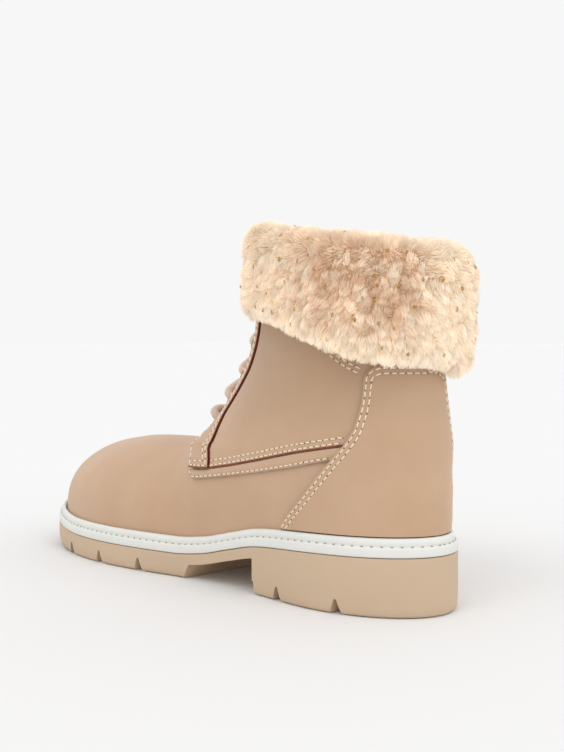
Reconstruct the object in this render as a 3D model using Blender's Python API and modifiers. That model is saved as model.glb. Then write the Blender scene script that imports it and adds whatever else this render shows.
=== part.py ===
"""A left ankle boot with a lugged sole, a two-step welt, stitched panels, laces and a folded fur cuff.

Blender 4.5, metres, +Z up. The toe points to -Y and the outer (lateral) side of the foot to +X.
The origin is on the floor under the heel. Inside this script "along" is the distance forward of
the sole's back edge, "height" the distance above the floor, and "across" the distance from the
boot's own centre line.
"""

import math

import bmesh
import bpy
import numpy as np
from mathutils import Vector

# Driving sizes
SOLE_LENGTH = 0.272
SOLE_MARGIN = 0.0044
BALL_HALF_WIDTH = 0.0474
HEEL_HALF_WIDTH = 0.0310
TOE_SWING = 0.0055
HEEL_HEIGHT = 0.0247
FOREFOOT_HEIGHT = 0.0109
TOE_SPRING = 0.0065
HEEL_BLOCK_LENGTH = 0.0832
ARCH_END = 0.1305
ARCH_THICKNESS = 0.0050
ORIGIN_FROM_BACK = 0.048
TREAD_DEPTH = 0.0063
GROOVE_WIDTH = 0.0060
GROOVE_ROOF_WIDTH = 0.0014
GROOVE_PITCH = 0.0293
HEEL_GROOVE_START = 0.0354
FOREFOOT_GROOVE_START = 0.1590
BAND_HEIGHT = 0.0046
BEAD_HEIGHT = 0.0032
BEAD_MARGIN = 0.0030
FIT_GAP = 0.0003
LAYER_GAP = 0.0006
PANEL_RELIEF = 0.00078
WALL = 0.0020
PANEL = 0.0012
BAND_PANEL = 0.0008
COUNTER_PANEL = 0.0013
EYESTAY_FACE = 0.0030
SHAFT_HEIGHT = 0.150
SHAFT_HALF_WIDTH = 0.0284
INSTEP_REACH = 0.153
VAMP_HEIGHT = 0.0625
THROAT_HALF_GAP = 0.0065
COUNTER_TOP = 0.6887 * SHAFT_HEIGHT
INSOLE_THICKNESS = 0.0035
TONGUE_THICKNESS = 0.0032
TONGUE_TOP = 0.0165
TONGUE_FOOT = 0.0215
UNDER_COLLAR = 0.25 * SOLE_LENGTH
UNDER_THROAT = 0.434 * SOLE_LENGTH
EYELET_ROWS = 5
EYELET_PITCH = 0.0157
LOWEST_EYELET = 1.197 * VAMP_HEIGHT
EYELET_HOLE_RADIUS = 0.0021
EYELET_RIM_RADIUS = 0.0036
LACE_DIAMETER = 0.0042
CUFF_THICKNESS = ((0.0, 0.0130), (0.12, 0.0115), (0.22, 0.0085), (0.40, 0.0070))
CUFF_TOP_BACK = 1.027 * SHAFT_HEIGHT
CUFF_TOP_FRONT = 1.127 * SHAFT_HEIGHT
CUFF_HEM_BACK = 0.670 * SHAFT_HEIGHT
CUFF_HEM_FRONT = 0.803 * SHAFT_HEIGHT
CUFF_LINING_DEPTH = 0.022
CUFF_HALF_GAP = 0.0185
CUFF_STEPS = 58
CUFF_ROWS = 7
LOCK_DEPTH = 0.0024

# Plan of the upper's bottom edge: along as a share of the sole length, then the outer and inner
# half widths as shares of the ball's half width
PLAN = (
    (0.000, 0.654, 0.654),
    (0.202, 0.654, 0.654),
    (0.301, 0.641, 0.624),
    (0.386, 0.654, 0.568),
    (0.478, 0.717, 0.586),
    (0.588, 0.886, 0.722),
    (0.680, 0.983, 0.840),
    (0.735, 1.000, 0.865),
    (0.772, 0.987, 0.857),
    (0.846, 0.958, 0.827),
    (1.000, 0.939, 0.802),
)
# How far the centre line swings to the inner side: along share, share of the toe swing
SWING = ((0.0, 0.0), (0.40, 0.0), (0.60, 0.38), (0.80, 0.78), (1.0, 1.0))
HEEL_ROUND = 0.050
TOE_ROUND = 0.057
HEEL_POWER = 1.90
TOE_POWER = 2.15

# Top of the rubber: along share, share of the step from forefoot to heel height
TOP_OF_RUBBER = (
    (0.00, 1.00),
    (0.15, 0.95),
    (0.24, 0.86),
    (0.302, 0.75),
    (0.368, 0.47),
    (0.44, 0.14),
    (0.51, 0.00),
    (1.00, 0.00),
)
TOE_RISE_START = 0.77

# Back line of the upper: height as a share of the shaft height, then the lean from the sole's back
BACK_LINE = (
    (0.15, 0.0052),
    (0.24, 0.0042),
    (0.33, 0.0037),
    (0.40, 0.0042),
    (0.47, 0.0053),
    (0.55, 0.0070),
    (0.63, 0.0088),
    (0.69, 0.0100),
    (0.80, 0.0110),
    (1.15, 0.0112),
)
# Half width of heel and shaft: height share of the shaft, share of the shaft's half width
SHAFT_WIDTH = (
    (0.15, 1.092),
    (0.30, 1.100),
    (0.40, 1.085),
    (0.53, 1.045),
    (0.67, 1.005),
    (0.80, 0.995),
    (1.15, 1.010),
)
# Crest of the boot from collar to toe tip: along as a share of the sole length, height as a share
# of the vamp height
CREST = (
    (0.3890, 3.300),
    (0.3875, 2.400),
    (0.3890, 2.080),
    (0.3930, 1.900),
    (0.4010, 1.780),
    (0.4170, 1.620),
    (0.4410, 1.470),
    (0.4680, 1.325),
    (0.5000, 1.175),
    (0.5310, 1.072),
    (0.5630, 1.025),
    (0.6100, 1.004),
    (0.6840, 0.998),
    (0.7720, 0.976),
    (0.8450, 0.928),
    (0.9040, 0.840),
    (0.9450, 0.720),
    (0.9700, 0.590),
    (0.9810, 0.455),
)
SHAFT_ROUND_BACK = 0.050
SHAFT_ROUND_FRONT = 0.051
VAMP_POWER = 2.55

# Seam lines in the side view: along share of the sole length, height share of the shaft height
QUARTER_EDGE = (
    (0.000, 0.500),
    (0.100, 0.471),
    (0.206, 0.437),
    (0.315, 0.396),
    (0.393, 0.368),
    (0.470, 0.348),
    (0.503, 0.350),
)
BAND_EDGE = (
    (0.000, 0.466),
    (0.121, 0.428),
    (0.254, 0.379),
    (0.380, 0.339),
    (0.490, 0.309),
)
# Front arc of the quarter, from its lower corner to the foot of the throat
QUARTER_FRONT = (
    (0.4835, 0.348),
    (0.4825, 0.372),
    (0.4850, 0.400),
    (0.4950, 0.428),
    (0.5264, 0.447),
)
# Back edge of the eyestay: a distance from the boot's middle down to a height on the crest, then
# side-view shares of the sole length and shaft height down to its corner on the quarter's edge
EYESTAY_HALF_WIDTH = 0.0208
EYESTAY_WIDTH_END = 0.653 * SHAFT_HEIGHT
EYESTAY_BACK = (
    (0.4119, 0.5526),
    (0.4300, 0.5062),
    (0.4340, 0.4680),
    (0.4310, 0.4258),
    (0.4270, 0.3850),
)
EYESTAY_CORNER = 0.425 * SOLE_LENGTH
EYESTAY_ROWS = 14
# Front edge of the heel counter: height share of the shaft, reach from the sole's back
COUNTER_EDGE = (
    (0.15, 0.0695),
    (0.205, 0.0673),
    (0.31, 0.0530),
    (0.415, 0.0386),
    (0.465, 0.0326),
    (0.515, 0.0288),
    (0.595, 0.0268),
    (0.70, 0.0266),
)
COUNTER_CORNER = 0.0065

NUBUCK = (0.58, 0.40, 0.27, 1.0)
NUBUCK_STRAP = (0.62, 0.45, 0.33, 1.0)
WELT_WHITE = (0.82, 0.81, 0.77, 1.0)
SOLE_BEIGE = (0.60, 0.45, 0.32, 1.0)
FUR_CREAM = (0.86, 0.74, 0.60, 1.0)
LACE_BEIGE = (0.76, 0.64, 0.54, 1.0)
EYELET_GOLD = (0.72, 0.52, 0.30, 1.0)
INSOLE_CREAM = (0.80, 0.70, 0.58, 1.0)


def smooth(table, x, column=1):
    """Monotone cubic through the table's rows (Fritsch and Carlson)."""
    rows = np.array(table, float)
    xs, ys = rows[:, 0], rows[:, column]
    steps = np.diff(xs)
    slopes = np.diff(ys) / steps
    tangents = np.zeros(len(xs))
    for i in range(1, len(xs) - 1):
        if slopes[i - 1] * slopes[i] > 0:
            tangents[i] = 2 * slopes[i - 1] * slopes[i] / (slopes[i - 1] + slopes[i])
    tangents[0], tangents[-1] = slopes[0], slopes[-1]
    x = np.clip(np.asarray(x, float), xs[0], xs[-1])
    i = np.clip(np.searchsorted(xs, x, side="right") - 1, 0, len(xs) - 2)
    t = (x - xs[i]) / steps[i]
    return (
        (2 * t**3 - 3 * t**2 + 1) * ys[i]
        + (t**3 - 2 * t**2 + t) * steps[i] * tangents[i]
        + (3 * t**2 - 2 * t**3) * ys[i + 1]
        + (t**3 - t**2) * steps[i] * tangents[i + 1]
    )


def ease(t):
    t = np.clip(t, 0.0, 1.0)
    return t * t * (3 - 2 * t)


def world(along, across, height):
    """A point of the boot in the frame of the model."""
    return np.stack(np.broadcast_arrays(across, ORIGIN_FROM_BACK - along, height), axis=-1)


# The last: plan, sole line, crest and half width
FEATHER_BACK = 0.0050
FEATHER_FRONT = SOLE_LENGTH - SOLE_MARGIN


def centre(along):
    return -TOE_SWING * smooth(SWING, along / SOLE_LENGTH)


def end_rounding(along):
    """Square of the share of the half width that the heel and toe rounding leave."""
    back = np.clip((along - FEATHER_BACK) / HEEL_ROUND, 0.0, 1.0)
    front = np.clip((FEATHER_FRONT - along) / TOE_ROUND, 0.0, 1.0)
    heel = (1 - (1 - back) ** HEEL_POWER) ** (2 / HEEL_POWER)
    toe = (1 - (1 - front) ** TOE_POWER) ** (2 / TOE_POWER)
    return heel * toe


def plan_width(along, side):
    """Half width of the upper's bottom edge before the ends are rounded."""
    return BALL_HALF_WIDTH * smooth(PLAN, along / SOLE_LENGTH, 1 if side > 0 else 2)


def ground(along):
    """Height of the tread's underside: flat, then the toe spring."""
    t = np.clip((along / SOLE_LENGTH - TOE_RISE_START) / (1 - TOE_RISE_START), 0.0, 1.0)
    return TOE_SPRING * t**1.8


def rubber_top(along):
    share = smooth(TOP_OF_RUBBER, along / SOLE_LENGTH)
    return FOREFOOT_HEIGHT + (HEEL_HEIGHT - FOREFOOT_HEIGHT) * share + ground(along)


def welt_floor(along):
    """Top of the welt's floor, where the upper and the insole stand."""
    return rubber_top(along) + FIT_GAP + BAND_HEIGHT


def feather(along):
    return welt_floor(along) + 2 * FIT_GAP


def crest_table():
    """The crest as a dense smooth line of (along, height), from collar to toe tip."""
    rows = np.array([(a * SOLE_LENGTH, z * VAMP_HEIGHT) for a, z in CREST])
    reach = np.concatenate([[0], np.cumsum(np.hypot(*np.diff(rows, axis=0).T))])
    dense = np.linspace(0, reach[-1], 500)
    along = smooth(np.column_stack([reach, rows[:, 0]]), dense)
    height = smooth(np.column_stack([reach, rows[:, 1]]), dense)
    return dense, along, height


CREST_REACH, CREST_ALONG, CREST_HEIGHT = crest_table()


def crest_height(along):
    """Height of the crest over a point of the vamp or the instep."""
    lowest = int(np.argmin(CREST_ALONG))
    return np.interp(along, CREST_ALONG[lowest:], CREST_HEIGHT[lowest:])


def crest_along(height):
    return np.interp(height, CREST_HEIGHT[::-1], CREST_ALONG[::-1])


def back_line(height):
    return smooth(BACK_LINE, height / SHAFT_HEIGHT)


def half_width_squared(along, height, side):
    """Square of the half width at a point of the side view, from arches over the vamp and rings
    round the shaft, faded into each other over the instep."""
    along, height = np.broadcast_arrays(np.asarray(along, float), np.asarray(height, float))
    base = feather(along)
    rise = np.clip((height - base) / (crest_height(along) - base), 0.0, 1.0)
    arch = plan_width(along, side) ** 2 * end_rounding(along) * (1 - rise**VAMP_POWER)
    ring_width = SHAFT_HALF_WIDTH * smooth(SHAFT_WIDTH, height / SHAFT_HEIGHT)
    waist = plan_width(along, side) / HEEL_HALF_WIDTH
    ring_width = ring_width * (1 + (waist - 1) * (1 - ease((height - 0.034) / 0.05)))
    back = np.clip((along - back_line(height)) / SHAFT_ROUND_BACK, 0.0, 1.0)
    front = np.clip((crest_along(height) - along) / SHAFT_ROUND_FRONT, 0.0, 1.0)
    rounding = (1 - (1 - back) ** HEEL_POWER) ** (2 / HEEL_POWER) * (1 - (1 - front) ** 2)
    ring = ring_width**2 * rounding
    shaft_share = ease((INSTEP_REACH - along) / 0.042)
    return arch * (1 - shaft_share) + ring * shaft_share


def outward(along, height, side):
    """Unit normal of the last at a point of the side view, as (along, across, height)."""
    step = 0.0004
    width = np.sqrt(np.maximum(half_width_squared(along, height, side), 0.0))
    slope_along = (
        half_width_squared(along + step, height, side)
        - half_width_squared(along - step, height, side)
    ) / (2 * step)
    slope_height = (
        half_width_squared(along, height + step, side)
        - half_width_squared(along, height - step, side)
    ) / (2 * step)
    normal = np.stack([-slope_along / 2, width * side, -slope_height / 2], axis=-1)
    return normal / np.maximum(np.linalg.norm(normal, axis=-1, keepdims=True), 1e-9)


def last_point(along, height, side, offset=0.0):
    """Point of the last's surface, moved outwards by offset, in the model's frame."""
    width = np.sqrt(np.maximum(half_width_squared(along, height, side), 0.0))
    across = centre(along) + side * width
    if np.any(offset):
        normal = outward(along, height, side) * np.asarray(offset)[..., None]
        along, across, height = (
            along + normal[..., 0],
            across + normal[..., 1],
            height + normal[..., 2],
        )
    return world(along, across, height)


def beside_crest(reach, distance, side=1):
    """Side-view point below or behind the crest where the last is distance away from its middle."""
    i = np.interp(reach, CREST_REACH, np.arange(len(CREST_REACH)))
    lower, upper = max(int(i) - 6, 0), min(int(i) + 6, len(CREST_REACH) - 1)
    tangent = np.array(
        [CREST_ALONG[upper] - CREST_ALONG[lower], CREST_HEIGHT[upper] - CREST_HEIGHT[lower]]
    )
    tangent /= np.linalg.norm(tangent)
    inward = np.array([tangent[1], -tangent[0]])
    start = np.array(
        [np.interp(reach, CREST_REACH, CREST_ALONG), np.interp(reach, CREST_REACH, CREST_HEIGHT)]
    )
    near, far = 0.0, 0.05
    for _ in range(40):
        middle = (near + far) / 2
        point = start + inward * middle
        if half_width_squared(point[0], point[1], side) < distance**2:
            near = middle
        else:
            far = middle
    return start + inward * near


def reach_at_height(height):
    """Distance down the crest from its top to a height on the shaft or instep."""
    return float(np.interp(-height, -CREST_HEIGHT, CREST_REACH))


THROAT_FOOT = reach_at_height(1.08 * VAMP_HEIGHT)
COLLAR_FRONT = reach_at_height(SHAFT_HEIGHT + 0.008)


def collar_height(along):
    """The collar's top edge rises a little from heel to front."""
    return SHAFT_HEIGHT - 0.004 + 0.012 * np.clip(along / 0.080, 0, 1)


def quarter_edge(along):
    return SHAFT_HEIGHT * smooth(QUARTER_EDGE, along / SOLE_LENGTH)


def band_edge(along):
    return SHAFT_HEIGHT * smooth(BAND_EDGE, along / SOLE_LENGTH)


def throat_line(count):
    """Side-view points down the throat's edge, from the collar to the foot of the throat."""
    reaches = np.linspace(COLLAR_FRONT, THROAT_FOOT, count)
    return np.array([beside_crest(r, THROAT_HALF_GAP) for r in reaches])


def collar_line(count):
    """Side-view points along the collar from the back line to the throat's edge."""
    front = beside_crest(COLLAR_FRONT, THROAT_HALF_GAP)
    back = np.array([back_line(SHAFT_HEIGHT), collar_height(0.0)])
    share = np.linspace(0, 1, count) ** 1.5
    line = back + (front - back) * share[:, None]
    line[:, 1] = np.minimum(collar_height(line[:, 0]), front[1])
    return line


# Objects
def clear_scene():
    for obj in list(bpy.data.objects):
        bpy.data.objects.remove(obj, do_unlink=True)


def collection(name):
    made = bpy.data.collections.new(name)
    bpy.context.scene.collection.children.link(made)
    return made


def material(name, colour, roughness, metallic=0.0):
    made = bpy.data.materials.new(name)
    made.use_nodes = True
    shader = made.node_tree.nodes["Principled BSDF"]
    shader.inputs["Base Color"].default_value = colour
    shader.inputs["Roughness"].default_value = roughness
    shader.inputs["Metallic"].default_value = metallic
    return made


def add_object(name, points, faces, group, finish=None, weld=1e-6):
    mesh = bpy.data.meshes.new(name)
    mesh.from_pydata([tuple(p) for p in points], [], [tuple(f) for f in faces])
    shape = bmesh.new()
    shape.from_mesh(mesh)
    bmesh.ops.remove_doubles(shape, verts=shape.verts, dist=weld)
    bmesh.ops.recalc_face_normals(shape, faces=shape.faces)
    shape.to_mesh(mesh)
    shape.free()
    mesh.shade_smooth()
    mesh.set_sharp_from_angle(angle=math.radians(35))
    if finish:
        mesh.materials.append(finish)
    obj = bpy.data.objects.new(name, mesh)
    group.objects.link(obj)
    return obj


def grid_faces(rows, columns, closed=False, first=0):
    faces = []
    for i in range(rows - 1):
        for j in range(columns if closed else columns - 1):
            k = (j + 1) % columns
            faces.append(
                (
                    first + i * columns + j,
                    first + i * columns + k,
                    first + (i + 1) * columns + k,
                    first + (i + 1) * columns + j,
                )
            )
    return faces


def leather_sheet(name, grid, thickness, group, finish, outwards=True):
    """An open grid of points, its faces turned away from the foot, given its thickness."""
    rows, columns = grid.shape[:2]
    obj = add_object(name, grid.reshape(-1, 3), grid_faces(rows, columns), group, finish)
    turn_outwards(obj)
    wall = obj.modifiers.new("wall", "SOLIDIFY")
    wall.thickness = thickness
    wall.offset = 1.0 if outwards else -1.0
    wall.use_even_offset = True
    return obj


def turn_outwards(obj):
    """Turns every face so that it looks away from the inside of the boot."""
    shape = bmesh.new()
    shape.from_mesh(obj.data)
    vote = 0.0
    for face in shape.faces:
        middle = face.calc_center_median()
        inside = Vector((0.0, min(max(middle.y, -0.16), 0.0), min(middle.z, 0.04)))
        vote += face.normal.dot(middle - inside) * face.calc_area()
    if vote < 0:
        bmesh.ops.reverse_faces(shape, faces=shape.faces)
    shape.to_mesh(obj.data)
    shape.free()


def plan_outline(margin, count=36):
    """Outer and inner sides of the sole's plan, a margin outside the upper's bottom edge, as two
    rows of (along, across) with matching stations from heel to toe."""
    turn = np.linspace(0.0, math.pi, count)
    along = FEATHER_BACK + (FEATHER_FRONT - FEATHER_BACK) * (1 - np.cos(turn)) / 2
    sides = []
    for side in (1, -1):
        width = plan_width(along, side) * np.sqrt(np.maximum(end_rounding(along), 0.0))
        line = np.column_stack([along, centre(along) + side * width])
        tangent = np.gradient(line, axis=0)
        tangent[0], tangent[-1] = (0.0, side), (0.0, -side)
        tangent /= np.linalg.norm(tangent, axis=1, keepdims=True)
        normal = np.column_stack([-tangent[:, 1], tangent[:, 0]]) * side
        sides.append(line + normal * margin)
    stations = sides[0][:, 0].copy()
    inner = np.interp(stations, sides[1][:, 0], sides[1][:, 1])
    inner[0], inner[-1] = sides[0][0, 1], sides[0][-1, 1]
    sides[1] = np.column_stack([stations, inner])
    return sides


def outline_ring(margin, height):
    """The plan as one closed ring of points, from heel round the outer side to the toe and back."""
    outer, inner = plan_outline(margin)
    line = np.concatenate([outer, inner[-2:0:-1]])
    return world(line[:, 0], line[:, 1], height(line[:, 0]))


def ladder(count, first):
    """Faces that close a ring by joining its outer and inner points at each station."""
    total = 2 * count - 2
    faces = [(first, first + 1, first + total - 1)]
    for i in range(1, count - 2):
        faces.append((first + i, first + i + 1, first + total - i - 1, first + total - i))
    faces.append((first + count - 2, first + count - 1, first + count))
    return faces


def ring_solid(name, rings, group, finish, closed=False):
    """A solid through rings of the plan, closed by ladders or, as a hoop, back on itself."""
    count = len(rings[0])
    points = np.concatenate(rings)
    faces = grid_faces(len(rings), count, closed=True)
    if not closed:
        half = count // 2 + 1
        faces += ladder(half, 0)
        faces += ladder(half, (len(rings) - 1) * count)
    return add_object(name, points, faces, group, finish)


def side_prism(name, profile, group, half_width=0.08):
    """A cutter: a side-view outline of (along, height) run across the whole boot."""
    count = len(profile)
    points = [world(a, x, z) for x in (-half_width, half_width) for a, z in profile]
    faces = [tuple(range(count)), tuple(range(2 * count - 1, count - 1, -1))]
    faces += [(i, (i + 1) % count, count + (i + 1) % count, count + i) for i in range(count)]
    cutter = add_object(name, points, faces, group)
    cutter.hide_render = True
    cutter.display_type = "WIRE"
    return cutter


def cut(obj, cutter):
    hole = obj.modifiers.new("cut_" + cutter.name, "BOOLEAN")
    hole.object = cutter
    hole.operation = "DIFFERENCE"
    hole.solver = "EXACT"


# Sole
def make_outsole(parts, cutters, finish):
    margin = SOLE_MARGIN
    rings = [
        outline_ring(margin - 0.0018, ground),
        outline_ring(margin - 0.0009, lambda a: ground(a) + 0.0009),
        outline_ring(margin, lambda a: rubber_top(a) - 0.0010),
        outline_ring(margin, rubber_top),
    ]
    sole = ring_solid("outsole", rings, parts, finish)
    under = -0.01
    heel = HEEL_BLOCK_LENGTH
    stations = np.linspace(heel, ARCH_END - 0.004, 9)
    profile = [(heel - 0.0016, under), (heel - 0.0010, TREAD_DEPTH - 0.0006)]
    profile += [(heel, TREAD_DEPTH)]
    profile += [(a, float(rubber_top(a)) - ARCH_THICKNESS) for a in stations]
    profile += [(ARCH_END, 0.0), (ARCH_END + 0.0033, under)]
    cut(sole, side_prism("arch_cut", profile, cutters))
    heel_grooves = [HEEL_GROOVE_START + i * GROOVE_PITCH for i in range(2)]
    forefoot_grooves = [FOREFOOT_GROOVE_START + i * GROOVE_PITCH for i in range(4)]
    for number, station in enumerate(heel_grooves + forefoot_grooves):
        floor = float(ground(station))
        flare = (GROOVE_WIDTH - GROOVE_ROOF_WIDTH) / 2 / TREAD_DEPTH
        low = GROOVE_WIDTH / 2 + flare * 0.01
        roof = GROOVE_ROOF_WIDTH / 2
        profile = [
            (station - low, floor - 0.01),
            (station - roof, floor + TREAD_DEPTH),
            (station + roof, floor + TREAD_DEPTH),
            (station + low, floor - 0.01),
        ]
        cut(sole, side_prism(f"groove_{number}", profile, cutters))
    return sole


def make_welt(parts, finish):
    def above(rise):
        return lambda a: rubber_top(a) + FIT_GAP + rise

    band, bead = BAND_HEIGHT, BAND_HEIGHT + BEAD_HEIGHT
    rings = [
        outline_ring(SOLE_MARGIN, above(0.0)),
        outline_ring(SOLE_MARGIN, above(band - 0.0008)),
        outline_ring(SOLE_MARGIN - 0.0007, above(band)),
        outline_ring(BEAD_MARGIN - 0.0002, above(band - 0.0002)),
        outline_ring(BEAD_MARGIN - 0.0007, above(bead - 0.0004)),
        outline_ring(BEAD_MARGIN - 0.0016, above(bead)),
        outline_ring(0.0008, above(bead - 0.0006)),
        outline_ring(0.0004, above(band)),
    ]
    return ring_solid("welt", rings, parts, finish)


def make_insole(parts, finish):
    inset = WALL + 0.0008
    rings = [
        outline_ring(-inset, lambda a: welt_floor(a) + FIT_GAP),
        outline_ring(-inset, lambda a: welt_floor(a) + FIT_GAP + INSOLE_THICKNESS - 0.001),
        outline_ring(-inset - 0.001, lambda a: welt_floor(a) + FIT_GAP + INSOLE_THICKNESS),
    ]
    return ring_solid("insole", rings, parts, finish)


# Upper and panels
def coons(bottom, right, top, left, row_share):
    """Side-view grid between four edges, each an array of (along, height)."""
    q = np.linspace(0, 1, len(bottom))[None, :, None]
    r = row_share[:, :, None]
    plain = (1 - r) * bottom[None] + r * top[None] + (1 - q) * left[:, None] + q * right[:, None]
    corners = (
        (1 - q) * (1 - r) * bottom[0]
        + q * (1 - r) * bottom[-1]
        + (1 - q) * r * top[0]
        + q * r * top[-1]
    )
    return plain - corners


def resample(line, count):
    """Points at even distances along a side-view line."""
    line = np.asarray(line, float)
    reach = np.concatenate([[0], np.cumsum(np.hypot(*np.diff(line, axis=0).T))])
    even = np.linspace(0, reach[-1], count)
    return np.column_stack([np.interp(even, reach, line[:, k]) for k in (0, 1)])


def straightened(line):
    """Side-view points measured from the back line instead of from the sole's back."""
    return np.column_stack([line[:, 0] - back_line(line[:, 1]), line[:, 1]])


def side_view_patch(bottom, right, top, left, row_share):
    """Coons grid, worked out with the back line straightened so that it stays on the last."""
    edges = [straightened(edge) for edge in (bottom, right, top, left)]
    grid = coons(*edges, row_share)
    grid[..., 0] += back_line(grid[..., 1])
    return grid


UPPER_COLUMNS = {"collar": 12, "throat": 9, "vamp": 13}
UPPER_ROWS = 10


def upper_side_view():
    """Side-view grid of the whole upper: columns from heel to toe, rows from sole to top edge."""
    collar = collar_line(UPPER_COLUMNS["collar"])
    throat = throat_line(UPPER_COLUMNS["throat"] + 1)[1:]
    ridge_reach = np.linspace(THROAT_FOOT + 0.0035, CREST_REACH[-1], UPPER_COLUMNS["vamp"])
    ridge = np.column_stack(
        [np.interp(ridge_reach, CREST_REACH, e) for e in (CREST_ALONG, CREST_HEIGHT)]
    )
    top = np.concatenate([collar, throat, ridge])
    under_collar = UNDER_COLLAR * np.linspace(0, 1, len(collar)) ** 1.5
    under_throat = np.linspace(UNDER_COLLAR, UNDER_THROAT, len(throat) + 1)[1:]
    turn = np.linspace(0, math.pi / 2, len(ridge) + 1)[1:]
    under_vamp = UNDER_THROAT + (FEATHER_FRONT - UNDER_THROAT) * np.sin(turn)
    along = np.concatenate([FEATHER_BACK + under_collar, under_throat, under_vamp])
    bottom = np.column_stack([along, feather(along)])
    even = np.linspace(0, 1, UPPER_ROWS)
    crowded = 0.15 * even + 0.85 * np.sin(even * math.pi / 2)
    step = np.arange(len(bottom)) - UPPER_COLUMNS["collar"] + 1
    crowding = ease(step / UPPER_COLUMNS["throat"])[None, :]
    share = even[:, None] * (1 - crowding) + crowded[:, None] * crowding
    left_height = bottom[0, 1] + (top[0, 1] - bottom[0, 1]) * even
    left = np.column_stack([back_line(left_height), left_height])
    bottom[0, 0] = left[0, 0]
    top[0, 0] = left[-1, 0]
    right = bottom[-1] + (top[-1] - bottom[-1]) * crowded[:, None]
    return side_view_patch(bottom, right, top, left, share)


def make_upper(parts, finish):
    grid = upper_side_view()
    rows, columns = grid.shape[:2]
    relief = -PANEL_RELIEF * ease((grid[..., 1] - quarter_edge(grid[..., 0]) - 0.001) / 0.006)
    relief *= ease((INSTEP_REACH - grid[..., 0]) / 0.012)
    outer = last_point(grid[..., 0], grid[..., 1], 1, relief)
    inner = last_point(grid[..., 0], grid[..., 1], -1, relief)
    first_vamp = UPPER_COLUMNS["collar"] + UPPER_COLUMNS["throat"] - 1
    for j in [0, columns - 1]:
        middle = (outer[:, j] + inner[:, j]) / 2
        outer[:, j] = inner[:, j] = middle
    middle = (outer[-1, first_vamp + 1 :] + inner[-1, first_vamp + 1 :]) / 2
    outer[-1, first_vamp + 1 :] = inner[-1, first_vamp + 1 :] = middle
    points = np.concatenate([outer.reshape(-1, 3), inner.reshape(-1, 3)])
    faces = grid_faces(rows, columns)
    faces += [f[::-1] for f in grid_faces(rows, columns, first=rows * columns)]
    obj = add_object("upper", points, faces, parts, finish)
    turn_outwards(obj)
    wall = obj.modifiers.new("wall", "SOLIDIFY")
    wall.thickness = WALL
    wall.offset = -1.0
    wall.use_even_offset = False
    return obj


def scaled(table):
    return np.array([(a * SOLE_LENGTH, z * SHAFT_HEIGHT) for a, z in table])


def eyestay_back_line(count):
    """Side-view points down the eyestay's back edge, from the collar to its lower corner."""
    reaches = np.linspace(COLLAR_FRONT, reach_at_height(EYESTAY_WIDTH_END), 24)
    line = [beside_crest(r, EYESTAY_HALF_WIDTH) for r in reaches]
    line += list(scaled(EYESTAY_BACK))
    line.append([EYESTAY_CORNER, quarter_edge(EYESTAY_CORNER)])
    return resample(line, count)


def quarter_side_view():
    """Side-view grid of one quarter: back line, lower edge, eyestay and collar."""
    columns, rows = 15, EYESTAY_ROWS
    right = eyestay_back_line(rows)[::-1]
    right[:, 0] -= 2 * FIT_GAP
    back = np.array([back_line(SHAFT_HEIGHT), collar_height(0.0)])
    share = np.linspace(0, 1, columns)[:, None] ** 1.5
    top = back + (right[-1] - back) * share
    top[1:-1, 1] = np.minimum(collar_height(top[1:-1, 0]), right[-1, 1])
    along = back_line(quarter_edge(0)) + (right[0, 0] - back_line(quarter_edge(0))) * share[:, 0]
    bottom = np.column_stack([along, quarter_edge(along)])
    bottom[-1] = right[0]
    left_height = np.linspace(bottom[0, 1], top[0, 1], rows)
    left = np.column_stack([back_line(left_height) + 0.00002, left_height])
    bottom[0], top[0] = left[0], left[-1]
    row_share = np.repeat(np.linspace(0, 1, rows)[:, None], columns, axis=1)
    return side_view_patch(bottom, right, top, left, row_share)


def make_quarter(name, side, parts, finish):
    grid = quarter_side_view()
    points = last_point(grid[..., 0], grid[..., 1], side, LAYER_GAP)
    return leather_sheet(name, points, PANEL, parts, finish)


def make_side_band(parts, finish):
    """The strip that shows under the outer quarter's lower edge, from the counter forwards."""
    front = QUARTER_FRONT[0][0] * SOLE_LENGTH
    share = np.linspace(0, 1, 4)[:, None]
    reach = np.linspace(0, 1, 18)[None, :]
    start = 0.0300
    for _ in range(6):
        along = start + (front - start) * reach
        low = band_edge(along) + 0.003 * np.clip((along - front + 0.004) / 0.004, 0, 1) ** 2
        height = low + (quarter_edge(along) - 2 * FIT_GAP - low) * share
        start = counter_reach(height[:, :1]) + 2 * FIT_GAP
    points = last_point(along, height, 1, LAYER_GAP)
    return leather_sheet("side_band", points, BAND_PANEL, parts, finish)


def counter_reach(height):
    """How far forward of the sole's back the heel counter reaches at a height."""
    reach = smooth(COUNTER_EDGE, height / SHAFT_HEIGHT)
    drop = np.clip((height - (COUNTER_TOP - COUNTER_CORNER)) / COUNTER_CORNER, 0, 1)
    return reach - COUNTER_CORNER * (1 - np.sqrt(np.maximum(1 - drop**2, 0)))


def counter_offset(along, height):
    """The counter lies on the vamp below the quarter's edge and on the quarter above it."""
    on_quarter = ease((height - quarter_edge(along) + 0.0060) / 0.0045)
    return LAYER_GAP + (PANEL + LAYER_GAP) * on_quarter


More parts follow.
